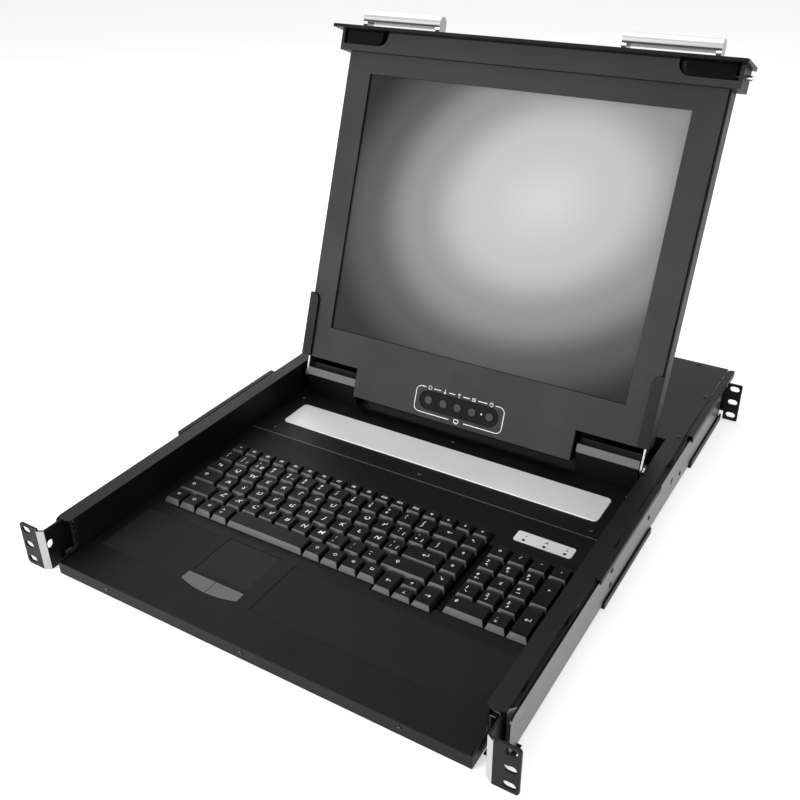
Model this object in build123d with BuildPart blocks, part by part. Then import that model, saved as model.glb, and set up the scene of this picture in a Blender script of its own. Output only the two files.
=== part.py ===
"""Rackmount LCD console drawer, one rack unit high, drawn with its lid open.

Lengths are in millimetres. X runs to the right, Y runs from the front to the rear
and Z points up. The origin lies under the middle of the console, on its base plane.
The drawer is pushed home between the rack ears.
"""
import os
from math import cos, radians, sin

from build123d import *

os.makedirs("parts", exist_ok=True)

# Overall sizes. The front is the plane of the front ears.
unit_height = 44.0
overall_depth = 588.0
front = -overall_depth / 2
rear = overall_depth / 2
chassis_half = 203.2
slide_space = 18.8
rail_outer_x = chassis_half + slide_space

# Rack mounting pattern of one unit: three slots in each ear.
slot_beyond_rail = 10.55
slot_spread = 2 * (rail_outer_x + slot_beyond_rail)
slot_heights = (6.35, 22.225, 38.1)
slot_length = 10.0
slot_width = 6.5
ear_beyond_rail = 18.0
ear_span = 2 * (rail_outer_x + ear_beyond_rail)
ear_sheet = 2.0
ear_lap = 2.5
ear_inner_x = rail_outer_x - ear_lap
ear_corner = 3.0

# Outer rails and their brackets.
rail_sheet = 1.6
rail_low = 5.0
rail_high = 40.0
rail_front = front + 22.0
rail_rear = front + 548.0
rail_corner = 7.0
rail_foot = 6.0
rail_hole_y = front + 375.6
rail_hole_z = 23.3
rail_hole_diameter = 7.0
arm_inset = 8.4
arm_x = rail_outer_x - arm_inset
arm_top = 41.2
arm_joggle = 3.6
arm_step_y = front + 30.0
arm_step_run = 5.0
arm_end = front + 183.0
arm_low = 9.0
arm_high = 41.0
clip_sheet = 1.8
clip_length = 150.0
clip_lip_x = rail_outer_x + clip_sheet
clip_lip_drop = 3.0
clip_foot_front = 17.0
clip_foot_rear = 15.0
clip_foot_rise = 6.5
base_clearance = 0.4
bracket_front = front + 430.0
bracket_rear = rear - 1.0
bracket_ear_y = front + 556.0
bracket_sheet = 1.6
bracket_gap = 0.3
bracket_foot_front = 11.0
bracket_foot_rear = 5.0
bracket_neck_low = 10.0
bracket_neck_high = 38.0
bracket_ear_gap = 2.6
bracket_ear_inner_x = rail_outer_x + bracket_ear_gap

# Three-member ball slides between the chassis and the rails.
slide_front = front + 30.0
slide_rear = front + 540.0
slide_moving_rear = front + 500.0
slide_sheet = 1.2
slide_inner_front = front + 28.0
slide_inner_low = 15.0
slide_inner_high = 30.0
slide_inner_depth = 5.0
slide_race = 2.4
slide_overlap = 3.3
slide_web_gap = 1.4
slide_outer_web_gap = 1.0
ball_radius = 1.1
balls_per_race = 5
cage_sheet = 0.8
cage_width = 2.4
cage_front = front + 135.0
cage_rear = front + 395.0
spacer_radius = 4.5
spacer_places = (70.0, 150.0, 260.0, 405.0)

# Chassis tray.
sheet = 1.2
tray_front = front + 3.5
tray_lip = 12.0
wall_front = front + 27.5
wall_step = 13.5
wall_curve = 8.0
flange_gap = 4.7
flange_outer_x = rail_outer_x - flange_gap
flange_front = front + 23.0
flange_tongue = 2.0
bay_front = front + 412.0
cover_overhang = 13.0
cover_half = chassis_half + cover_overhang

# Keyboard deck and the flat cover behind it.
deck_gap = 0.6
deck_rear = front + 269.6
deck_top = 12.0
deck_plate = 3.0
deck_skirt = 2.0
deck_corner = 3.0
cover_top = 10.5
cover_sheet = 1.2
strip_side = 23.5
strip_width = 2 * (chassis_half - strip_side)
strip_front = front + 295.0
strip_rear = front + 336.0
strip_sheet = 1.0
strip_corner = 5.0

# Keyboard: the key unit and the rows, counted from the user.
keys_side_left = 15.8
keys_side_right = 12.28
pad_gap = 7.235
main_units = 15.5
pad_units = 4
keys_span = 2 * chassis_half - keys_side_left - keys_side_right
key_unit = (keys_span - pad_gap) / (main_units + pad_units)
row_pitch = 19.3
keys_left = keys_side_left - chassis_half
keys_front = front + 118.35
pad_left = chassis_half - keys_side_right - pad_units * key_unit
well_margin = 0.9
key_gap = 0.9
key_top = 17.0
key_skirt = 11.2
key_side_inset = 2.0
key_front_inset = 2.8
key_back_inset = 0.9
key_travel = 2.0
function_depth = 14.7
function_keys = 17
arrow_drop = 5.8
arrow_top = 15.8
stem_size = 4.0
stem_gap = 0.35
stem_reach = 0.7
plate_sheet = 1.2

# Palm rest, touchpad and its two buttons.
palm_depth = 0.4
palm_front = front + 41.0
palm_rear = front + 103.5
palm_side_left = 13.2
palm_left_edge = palm_side_left - chassis_half
palm_left_end = -105.0
palm_right_start = -21.5
palm_side_right = 12.7
palm_right_edge = chassis_half - palm_side_right
palm_small_corner = 14.0
palm_large_corner = 40.0
pad_x = -66.1
pad_width = 57.2
pad_front = front + 57.0
pad_rear = front + 105.6
pad_recess = 0.8
touch_rear = front + 53.4
touch_front = front + 43.0
touch_sag = 5.0
touch_width = 61.0
touch_rise = 0.6
touch_thickness = 1.8
touch_travel = 0.8
touch_gap = 0.3

# Status label.
label_side = 51.3
label_x = chassis_half - label_side
label_y = front + 239.6
label_width = 55.4
label_depth = 15.0
label_sheet = 0.6
label_corner = 2.5

# Lid hinge: the pivot, and where the screen lies when the lid is shut.
pivot_back = 367.8
pivot_height = 32.4
open_angle = 69.79
screen_shut_back = 309.6
screen_shut_height = 20.4

# Lid, seen from the screen: s runs up from the screen's lower edge, n towards the user.
shell_side_gap = 4.7
shell_half = chassis_half - shell_side_gap
screen_side = 29.55
screen_width = 2 * (shell_half - screen_side)
screen_height = 270.3
shell_wall = 1.6
shell_back = 1.2
shell_edge = 3.0
lid_thickness = 23.0
bezel_step = 2.0
bezel_half = shell_half - bezel_step
bezel_thickness = 2.5
lid_low = -67.5
notch_low = -36.4
leaf_sheet = 2.0
leaf_inset = 4.5
leaf_x = shell_half - leaf_inset
leaf_gap = 0.8
housing_outer_x = leaf_x - leaf_gap
housing_length = 63.7
housing_inner_x = housing_outer_x - housing_length
notch_gap = 2.7
notch_half = housing_inner_x - notch_gap
vent_side = 93.5
vent_drop = 55.3
vent_length = 40.0
vent_width = 3.5
box_low = 291.0
box_high = 311.0
box_overhang = 3.5
box_half = chassis_half + box_overhang
box_proud = 6.0
plate_overhang = 4.3
plate_half = box_half + plate_overhang
plate_thickness = 3.0
plate_front = 19.5
plate_back = 23.5
panel_margin = 4.0
panel_depth = 8.0

# Buttons under the screen.
osd_x = (-35.6, -18.0, -1.4, 15.6, 35.6)
osd_s = -48.2
osd_radius = 4.2
osd_gap = 0.25
osd_recess_width = 92.0
osd_recess_height = 21.0
osd_recess = 0.9
osd_travel = 0.8
osd_board_gap = 1.0
osd_board_sheet = 1.6

# Hinge parts at each side of the lid.
housing_front = 6.3
housing_undercut = 1.8
housing_bevel = 2.1
housing_bevel_low = 2.1
housing_top = 10.6
housing_back = 16.0
housing_back_bevel = 8.0
housing_back_drop = 7.6
barrel_radius = 5.0
barrel_wall = 8.5
barrel_inner_x = housing_inner_x + barrel_wall
barrel_seat = 0.05
shaft_radius = 3.0
shaft_gap = 0.05
shaft_length = 28.2
shaft_inner_x = housing_outer_x - shaft_length
leaf_half = 6.0
leaf_top = 26.0
leaf_foot = 9.0
nut_radius = 4.6
nut_height = 3.0
cap_overhang = 1.3
arm_cap_width = 11.1
cap_outer_x = shell_half + cap_overhang
cap_inner_x = cap_outer_x - arm_cap_width
cap_low = -35.5
cap_high = 34.5
cap_thickness = 3.0

# Handles and latches on the front panel.
handle_side = 23.2
handle_width = 89.5
handle_outer_x = box_half - handle_side
handle_inner_x = handle_outer_x - handle_width
handle_reach = 18.0
handle_half_height = 7.0
handle_leg = 4.5
handle_gap = 6.5
latch_s = 302.0
latch_n = -5.0
latch_pin_radius = 2.25
latch_pin_gap = 0.08
latch_ear_gap = 0.4
latch_pin_tip = arm_x - latch_ear_gap
latch_pocket_wall = 3.3
latch_pocket_length = 53.4
latch_pocket_outer = box_half - latch_pocket_wall
latch_pocket_inner = latch_pocket_outer - latch_pocket_length
latch_pocket_low = 297.5
latch_tab_out_gap = 7.4
latch_tab_in_gap = 12.0
latch_tab_outer = latch_pocket_outer - latch_tab_out_gap
latch_tab_inner = latch_pocket_inner + latch_tab_in_gap
latch_pin_lap = 10.0
latch_pin_tail = latch_tab_outer - latch_pin_lap
latch_hole_width = 6.4
latch_hole_height = 8.6

# Rear bay.
inlet_side = 53.2
inlet_x = inlet_side - chassis_half
port_spacing = 58.0
port_x = inlet_x + port_spacing
bay_part_z = 22.0
bay_vent_x = 60.0
power_side = 22.0
power_width = 65.0
power_depth = 65.0
power_height = 34.0
power_back = 6.0
board_half = 52.0
board_foot_x = 50.0
board_foot_radius = 2.0
board_height = 16.0


def save(piece, label):
    """Name a finished piece and write it."""
    piece.part.label = label
    export_step(piece.part, f"parts/{label}.step")


def save_pair(right, label):
    """Write a right-hand piece and its mirror image."""
    save(right, label + "_right")
    with BuildPart() as left:
        mirror(right.part, about=Plane.YZ)
    save(left, label + "_left")


def block(low, high, mode=Mode.ADD):
    """A box between two opposite corners."""
    centre = tuple((a + b) / 2 for a, b in zip(low, high))
    with Locations(centre):
        Box(*(b - a for a, b in zip(low, high)), mode=mode)


# Front ears: a slotted plate, a lead-in joggle and an arm that steps out to the rail.
arm_seat_x = rail_outer_x - rail_sheet - ear_sheet
with BuildPart() as front_ear:
    with BuildSketch():
        with BuildLine():
            Polyline(
                (ear_span / 2, front),
                (ear_inner_x, front),
                (arm_x, front + arm_joggle),
                (arm_x, arm_step_y),
                (arm_seat_x, arm_step_y + arm_step_run),
                (arm_seat_x, arm_end),
            )
            offset(amount=ear_sheet, side=Side.RIGHT, kind=Kind.INTERSECTION)
        make_face()
    extrude(amount=unit_height)
    # The arm runs below the flange of the drawer and inside the rail.
    block((0, front, arm_top), (ear_inner_x - 0.2, arm_end + 1, unit_height), Mode.SUBTRACT)
    block((0, rail_front - 2, 0), (rail_outer_x, arm_end + 1, arm_low), Mode.SUBTRACT)
    block((0, rail_front - 2, arm_high), (rail_outer_x, arm_end + 1, unit_height), Mode.SUBTRACT)
    outer_edges = front_ear.edges().filter_by(Axis.Y).group_by(Axis.X)[-1]
    fillet(outer_edges, ear_corner)
    with BuildSketch(Plane.XZ.offset(-front)):
        with Locations(*[(slot_spread / 2, z) for z in slot_heights]):
            SlotOverall(slot_length, slot_width)
    extrude(amount=-ear_sheet, mode=Mode.SUBTRACT)
    with BuildSketch(Plane.YZ.offset(arm_x)):
        with Locations((front + screen_shut_back - latch_s, screen_shut_height - latch_n)):
            SlotOverall(latch_hole_height, latch_hole_width, rotation=90)
    extrude(amount=ear_sheet, mode=Mode.SUBTRACT)
save_pair(front_ear, "front_ear")

# Rails: a flat band with rounded front corners and a foot folded inwards.
with BuildPart() as rail:
    with BuildSketch(Plane.YZ.offset(rail_outer_x - rail_sheet)):
        with Locations(((rail_front + rail_rear) / 2, (rail_low + rail_high) / 2)):
            RectangleRounded(rail_rear - rail_front, rail_high - rail_low, rail_corner)
        with Locations((rail_hole_y, rail_hole_z)):
            Circle(rail_hole_diameter / 2, mode=Mode.SUBTRACT)
    extrude(amount=rail_sheet)
    # The foot is left off where the clip and the rear bracket wrap the band.
    for y_low, y_high in (
        (rail_front + rail_corner, arm_end - 1),
        (arm_end + clip_length + 1, bracket_front - 1),
    ):
        block(
            (rail_outer_x - rail_foot, y_low, rail_low),
            (rail_outer_x, y_high, rail_low + rail_sheet),
        )
save_pair(rail, "rail")

# Rail clips: a plate inside each rail with lips that wrap over and under the band.
clip_in = rail_outer_x - rail_sheet - clip_sheet
with BuildPart() as rail_clip:
    clip_end = arm_end + clip_length
    block((clip_in, arm_end, base_clearance), (clip_in + clip_sheet, clip_end, unit_height))
    block((clip_in, arm_end, unit_height - clip_sheet), (clip_lip_x, clip_end, unit_height))
    block(
        (clip_lip_x - clip_sheet + 0.4, arm_end, unit_height - clip_sheet - clip_lip_drop),
        (clip_lip_x, clip_end, unit_height),
    )
    block((clip_in, arm_end, base_clearance), (clip_lip_x, clip_end, base_clearance + clip_sheet))
    block(
        (clip_lip_x - clip_sheet + 0.4, arm_end, base_clearance),
        (clip_lip_x, clip_end, base_clearance + clip_foot_rise),
    )
    # The lower lip is shorter than the upper one at both ends.
    block((clip_in, arm_end - 1, 0), (clip_lip_x, arm_end + clip_foot_front, rail_low), Mode.SUBTRACT)
    block(
        (rail_outer_x, arm_end - 1, 0),
        (clip_lip_x, arm_end + clip_foot_front, rail_high - clip_lip_drop),
        Mode.SUBTRACT,
    )
    block((clip_in, clip_end - clip_foot_rear, 0), (clip_lip_x, clip_end + 1, rail_low), Mode.SUBTRACT)
    block(
        (rail_outer_x, clip_end - clip_foot_rear, 0),
        (clip_lip_x, clip_end + 1, rail_high - clip_lip_drop),
        Mode.SUBTRACT,
    )
    lip_corner = rail_clip.edges().filter_by(Axis.Y).sort_by(Axis.X)[-4:].sort_by(Axis.Z)[-1]
    fillet(lip_corner, clip_sheet / 2)
save_pair(rail_clip, "rail_clip")

# Rear brackets: lips that ride on the rail, a neck past its end and a slotted ear.
bracket_x = rail_outer_x - rail_sheet - bracket_gap - bracket_sheet
bracket_lip_x = rail_outer_x + bracket_gap + bracket_sheet
with BuildPart() as rear_bracket:
    with BuildSketch(Plane.XZ.offset(-bracket_front)):
        with BuildLine():
            Polyline(
                (bracket_x, bracket_neck_low),
                (bracket_x, unit_height),
                (bracket_lip_x, unit_height),
                (bracket_lip_x, rail_high - clip_lip_drop),
            )
            offset(amount=bracket_sheet, side=Side.RIGHT, kind=Kind.INTERSECTION)
        make_face()
    extrude(amount=bracket_front - bracket_ear_y)
    with BuildSketch(Plane.XZ.offset(-bracket_ear_y)):
        with BuildLine():
            Polyline(
                (bracket_x, unit_height - 2 * bracket_sheet),
                (bracket_x, unit_height),
                (bracket_lip_x, unit_height),
                (bracket_lip_x, rail_high - clip_lip_drop),
            )
            offset(amount=bracket_sheet, side=Side.RIGHT, kind=Kind.INTERSECTION)
        make_face()
    extrude(amount=bracket_ear_y - bracket_rear)
    foot_start = bracket_front + bracket_foot_front
    foot_end = bracket_ear_y - bracket_foot_rear
    with BuildSketch(Plane.XZ.offset(-foot_start)):
        with BuildLine():
            Polyline(
                (bracket_x, bracket_neck_low),
                (bracket_x, base_clearance),
                (bracket_lip_x, base_clearance),
                (bracket_lip_x, rail_low + clip_lip_drop),
            )
            offset(amount=bracket_sheet, side=Side.LEFT, kind=Kind.INTERSECTION)
        make_face()
    extrude(amount=foot_start - foot_end)
    top_corner = rear_bracket.edges().filter_by(Axis.Y).group_by(Axis.Z)[-1].sort_by(Axis.X)[-2:]
    fillet(top_corner, bracket_sheet * 0.9)
    # Neck and ear.
    block(
        (bracket_x, bracket_ear_y - 1, bracket_neck_low),
        (bracket_ear_inner_x + 1, bracket_ear_y + ear_sheet, bracket_neck_high),
    )
    with BuildSketch(Plane.XZ.offset(-bracket_ear_y)):
        with Locations(((ear_span / 2 + bracket_ear_inner_x) / 2, unit_height / 2)):
            RectangleRounded(ear_span / 2 - bracket_ear_inner_x, unit_height, ear_corner / 2)
        with Locations(*[(slot_spread / 2, z) for z in slot_heights]):
            SlotOverall(slot_length, slot_width, mode=Mode.SUBTRACT)
    extrude(amount=-ear_sheet)
save_pair(rear_bracket, "rear_bracket")


def channel(web_in, web_out, tip, low, high, y_front, y_rear):
    """A slide member: an upright web with two flanges that reach in to the tip."""
    with BuildPart() as member:
        thick = web_out - web_in
        with BuildSketch(Plane.XZ.offset(-y_front)):
            with BuildLine():
                FilletPolyline(
                    (tip, low),
                    (web_out, low),
                    (web_out, high),
                    (tip, high),
                    radius=1.0,
                )
                Polyline(
                    (tip, high),
                    (tip, high - thick),
                    (web_in, high - thick),
                    (web_in, low + thick),
                    (tip, low + thick),
                    (tip, low),
                )
            make_face()
        extrude(amount=y_front - y_rear)
    return member


# Inner members stand on the chassis walls with their flanges turned outwards.
inner_tip = chassis_half + slide_inner_depth
with BuildPart() as slide_inner:
    with BuildSketch(Plane.XZ.offset(-slide_inner_front)):
        with BuildLine():
            Polyline(
                (chassis_half, slide_inner_low),
                (inner_tip, slide_inner_low),
                (inner_tip, slide_inner_low + 1),
                (chassis_half + 1, slide_inner_low + 1),
                (chassis_half + 1, slide_inner_high - 1),
                (inner_tip, slide_inner_high - 1),
                (inner_tip, slide_inner_high),
                (chassis_half, slide_inner_high),
                close=True,
            )
        make_face()
    extrude(amount=slide_inner_front - slide_moving_rear)
save_pair(slide_inner, "slide_inner")

middle_web = inner_tip + slide_web_gap
middle_tip = inner_tip - slide_overlap
middle_low = slide_inner_low - slide_race - 1
middle_high = slide_inner_high + slide_race + 1
slide_middle = channel(
    middle_web, middle_web + 1, middle_tip, middle_low, middle_high, slide_front, slide_moving_rear
)
save_pair(slide_middle, "slide_middle")

outer_web = middle_web + 1 + slide_outer_web_gap
outer_tip = outer_web - 1.5 * slide_overlap
outer_low = middle_low - slide_race - slide_sheet
outer_high = middle_high + slide_race + slide_sheet
slide_outer = channel(
    outer_web, outer_web + slide_sheet, outer_tip, outer_low, outer_high, slide_front, slide_rear
)
save_pair(slide_outer, "slide_outer")

# Spacers carry each outer member on the rail, or on the plate that lies against the rail.
with BuildPart() as slide_spacers:
    for place in spacer_places:
        y = front + place
        seat = rail_outer_x - rail_sheet
        if y < arm_end:
            seat = arm_seat_x
        elif y < arm_end + clip_length:
            seat = clip_in
        start = outer_web + slide_sheet
        with BuildSketch(Plane.YZ.offset(start)):
            with Locations((y, (outer_low + outer_high) / 2)):
                Circle(spacer_radius)
        extrude(amount=seat - start)
    mirror(about=Plane.YZ)
save(slide_spacers, "slide_spacers")


def ball_cage(x_middle, race_centres):
    """Strips with captive rollers for both sides, one strip in each race."""
    pitch = (cage_rear - cage_front) / balls_per_race
    with BuildPart() as cage:
        for z in race_centres:
            block(
                (x_middle - cage_width / 2, cage_front, z - cage_sheet / 2),
                (x_middle + cage_width / 2, cage_rear, z + cage_sheet / 2),
            )
            for index in range(balls_per_race):
                with Locations((x_middle, cage_front + (index + 0.5) * pitch, z)):
                    Cylinder(ball_radius, cage_width, rotation=(0, 90, 0))
        mirror(about=Plane.YZ)
    return cage


inner_race = slide_race / 2
ball_cages_inner = ball_cage(
    inner_tip - cage_width / 2 - 0.2,
    (slide_inner_low - inner_race, slide_inner_high + inner_race),
)
save(ball_cages_inner, "ball_cages_inner")
ball_cages_outer = ball_cage(
    middle_web - 0.6,
    (middle_low - inner_race, middle_high + inner_race),
)
save(ball_cages_outer, "ball_cages_outer")

# Chassis tray: floor, front lip, walls with a curved front step and outward flanges.
wall_in = chassis_half - sheet
with BuildPart() as chassis_tray:
    block((-chassis_half, tray_front, 0), (chassis_half, rear, sheet))
    block((-chassis_half, tray_front, 0), (chassis_half, tray_front + sheet, tray_lip))
    block((-chassis_half, rear - sheet, 0), (chassis_half, rear, unit_height - sheet))
    with BuildSketch(Plane.YZ.offset(wall_in)):
        with BuildLine():
            Polyline(
                (wall_front, wall_step + wall_curve),
                (wall_front, unit_height),
                (bay_front, unit_height),
                (bay_front, unit_height - sheet),
                (rear, unit_height - sheet),
                (rear, 0),
                (tray_front, 0),
                (tray_front, tray_lip),
                (tray_front + sheet, tray_lip),
                (wall_front - wall_curve - 4, wall_step),
                (wall_front - wall_curve, wall_step),
            )
            RadiusArc(
                (wall_front - wall_curve, wall_step),
                (wall_front, wall_step + wall_curve),
                -wall_curve,
            )
        make_face()
    extrude(amount=sheet)
    # The flange covers the slide; behind the bay seam it drops by one sheet.
    with BuildSketch(Plane.XY.offset(unit_height - sheet)):
        with BuildLine():
            Polyline(
                (wall_in, wall_front),
                (wall_in, bay_front),
                (flange_outer_x, bay_front),
                (flange_outer_x, flange_front + flange_tongue),
            )
            ThreePointArc(
                (flange_outer_x, flange_front + flange_tongue),
                ((wall_in + flange_outer_x) / 2 - 1, flange_front - flange_tongue / 2),
                (wall_in, flange_front + flange_tongue),
            )
            Line((wall_in, flange_front + flange_tongue), (wall_in, wall_front))
        make_face()
    extrude(amount=sheet)
    block(
        (wall_in, bay_front - sheet, unit_height - 2 * sheet),
        (cover_half - sheet, rear, unit_height - sheet),
    )
    mirror(about=Plane.YZ)
    # Openings for the inlet and the console port in the rear wall.
    with BuildSketch(Plane.XZ.offset(-rear)):
        with Locations((inlet_x, bay_part_z)):
            Rectangle(28, 20.5)
        with Locations((port_x, bay_part_z)):
            RectangleRounded(17.4, 8.8, 2)
        with Locations((bay_vent_x, bay_part_z)):
            with GridLocations(9, 0, 12, 1):
                SlotOverall(24, 3.5, rotation=90)
    extrude(amount=sheet, mode=Mode.SUBTRACT)
save(chassis_tray, "chassis_tray")

# Bay cover: the top skin over the electronics with an apron behind the lid.
with BuildPart() as rear_cover:
    block((-cover_half, bay_front, unit_height - sheet), (cover_half, rear, unit_height))
    block((-wall_in + 0.3, bay_front, sheet), (wall_in - 0.3, bay_front + sheet, unit_height))
save(rear_cover, "rear_cover")

with BuildPart() as power_unit:
    power_x = port_x + power_side
    power_y = bay_front + power_back
    block((power_x, power_y, sheet), (power_x + power_width, power_y + power_depth, sheet + power_height))
    fillet(power_unit.edges().filter_by(Axis.Z), 2)
save(power_unit, "power_unit")

# Rear ports: an appliance inlet and a fifteen-way console socket.
with BuildPart() as rear_ports:
    with BuildSketch(Plane.XZ.offset(-(rear - sheet))):
        with Locations((inlet_x, bay_part_z)):
            Rectangle(36, 24)
        with Locations((port_x, bay_part_z)):
            RectangleRounded(31, 13, 1)
    extrude(amount=12)
    with BuildSketch(Plane.XZ.offset(-(rear - sheet))):
        with Locations((inlet_x, bay_part_z)):
            Rectangle(27.4, 19.9)
        with Locations((port_x, bay_part_z)):
            RectangleRounded(16.8, 8.2, 1.8)
    extrude(amount=-sheet)
    with BuildSketch(Plane.XZ.offset(-rear)):
        with Locations((inlet_x, bay_part_z)):
            RectangleRounded(24.4, 16.9, 3)
        with Locations((port_x, bay_part_z)):
            RectangleRounded(15.2, 6.6, 1.4)
    extrude(amount=10, mode=Mode.SUBTRACT)
    with BuildSketch(Plane.XZ.offset(-(rear - 10))):
        with Locations((inlet_x, bay_part_z + 2), (inlet_x - 7, bay_part_z - 2), (inlet_x + 7, bay_part_z - 2)):
            Rectangle(2, 4)
    extrude(amount=-8)
save(rear_ports, "rear_ports")

# Flat cover behind the keyboard, with a folded edge that stands on the tray floor.
with BuildPart() as cable_cover:
    panel_half = wall_in - deck_gap
    block((-panel_half, deck_rear + 0.3, cover_top - cover_sheet), (panel_half, bay_front, cover_top))
    for side in (-1, 1):
        x_low, x_high = sorted((side * panel_half, side * (panel_half - cover_sheet)))
        block((x_low, deck_rear + 0.3, sheet), (x_high, bay_front, cover_top))
save(cable_cover, "cable_cover")

with BuildPart() as cover_strip:
    with BuildSketch(Plane.XY.offset(cover_top)):
        with Locations((0, (strip_front + strip_rear) / 2)):
            RectangleRounded(strip_width, strip_rear - strip_front, strip_corner)
    extrude(amount=strip_sheet)
    chamfer(cover_strip.faces().sort_by(Axis.Z)[-1].edges(), 0.4)
save(cover_strip, "cover_strip")

# Places of the keys: each is (x, y, width, depth) of its cell.
row_units = {
    "number": [1] * 13 + [1.5, 1],
    "upper": [1.25] + [1] * 12 + [1.25, 1],
    "home": [1.5] + [1] * 11 + [2, 1],
    "lower": [2] + [1] * 10 + [2.5, 1],
}
row_names = ["lower", "home", "upper", "number"]
space_units = 4.5
bottom_left_units = [1] * 4
bottom_right_units = [1] * 4


def row_cells(units, x_start, y_centre, depth=row_pitch, unit=key_unit):
    """Cells of a row of keys whose widths are given in key units."""
    cells = []
    x = x_start
    for width in units:
        cells.append((x + width * unit / 2, y_centre, width * unit, depth))
        x += width * unit
    return cells


def row_centre(index):
    """Centre line of a row; row 0 is the one with the space bar."""
    return keys_front + (index + 0.5) * row_pitch


key_cells = {}
for index, row in enumerate(row_names):
    key_cells["keys_" + row] = row_cells(row_units[row], keys_left, row_centre(index + 1))
function_y = keys_front + 5 * row_pitch + function_depth / 2
function_unit = main_units * key_unit / function_keys
key_cells["keys_function"] = row_cells(
    [1] * function_keys, keys_left, function_y, function_depth, function_unit
)
space_left = keys_left + len(bottom_left_units) * key_unit
space_right = space_left + space_units * key_unit
arrows_left = space_right + len(bottom_right_units) * key_unit
key_cells["keys_bottom"] = row_cells(bottom_left_units, keys_left, row_centre(0)) + row_cells(
    bottom_right_units, space_right, row_centre(0)
)
key_cells["key_space"] = row_cells([space_units], space_left, row_centre(0))
arrow_depth = row_pitch + arrow_drop
arrow_y = keys_front - arrow_drop + arrow_depth / 2
key_cells["keys_arrow"] = [
    (arrows_left + key_unit / 2, arrow_y, key_unit, arrow_depth),
    (arrows_left + key_unit * 1.5, arrow_y - arrow_depth / 4, key_unit, arrow_depth / 2),
    (arrows_left + key_unit * 1.5, arrow_y + arrow_depth / 4, key_unit, arrow_depth / 2),
    (arrows_left + key_unit * 2.5, arrow_y, key_unit, arrow_depth),
]
pad_cells = row_cells([1] * 4, pad_left, row_centre(4))
for index in (3, 2, 1):
    pad_cells += row_cells([1] * 3, pad_left, row_centre(index))
pad_cells += row_cells([2, 1], pad_left, row_centre(0))
pad_right_x = pad_left + 3.5 * key_unit
for lower_row in (0, 2):
    tall_y = keys_front + (lower_row + 1) * row_pitch
    pad_cells.append((pad_right_x, tall_y, key_unit, 2 * row_pitch))
key_cells["keys_pad"] = pad_cells


def keycap(width, depth, top):
    """One keycap: a skirt that leans back to a smaller top, and a square stem below."""
    cap_width = width - key_gap
    cap_depth = depth - key_gap
    top_depth = cap_depth - key_front_inset - key_back_inset
    top_shift = (key_front_inset - key_back_inset) / 2
    with BuildPart() as cap:
        with BuildSketch(Plane.XY.offset(key_skirt)):
            Rectangle(cap_width, cap_depth)
        with BuildSketch(Plane.XY.offset(top)):
            with Locations((0, top_shift)):
                Rectangle(cap_width - 2 * key_side_inset, top_depth)
        loft()
        with BuildSketch(Plane.XY.offset(key_skirt)):
            Rectangle(stem_size, stem_size)
        extrude(amount=plate_top - plate_sheet - stem_reach - key_skirt)
    return cap.part


# The keyboard plate hangs under the deck and guides every stem.
plate_top = deck_top - deck_plate
stem_places = [(x, y) for cells in key_cells.values() for x, y, width, depth in cells]
main_right = keys_left + main_units * key_unit
pad_right = pad_left + 4 * key_unit
keys_rear = keys_front + 5 * row_pitch + function_depth
with BuildPart() as keyboard_plate:
    plate_low = (keys_left - 4, keys_front - arrow_drop - 4, plate_top - plate_sheet)
    block(plate_low, (pad_right + 4, keys_rear + 4, plate_top))
    with BuildSketch(Plane.XY.offset(plate_top)):
        with Locations(*stem_places):
            Rectangle(stem_size + 2 * stem_gap, stem_size + 2 * stem_gap)
    extrude(amount=-plate_sheet, mode=Mode.SUBTRACT)
save(keyboard_plate, "keyboard_plate")

for label, cells in key_cells.items():
    top = arrow_top if label == "keys_arrow" else key_top
    shapes = {}
    with BuildPart() as keys:
        for x, y, width, depth in cells:
            size = (round(width, 3), round(depth, 3))
            if size not in shapes:
                shapes[size] = keycap(width, depth, top)
            with Locations((x, y, 0)):
                add(shapes[size])
    save(keys, label)

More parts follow.
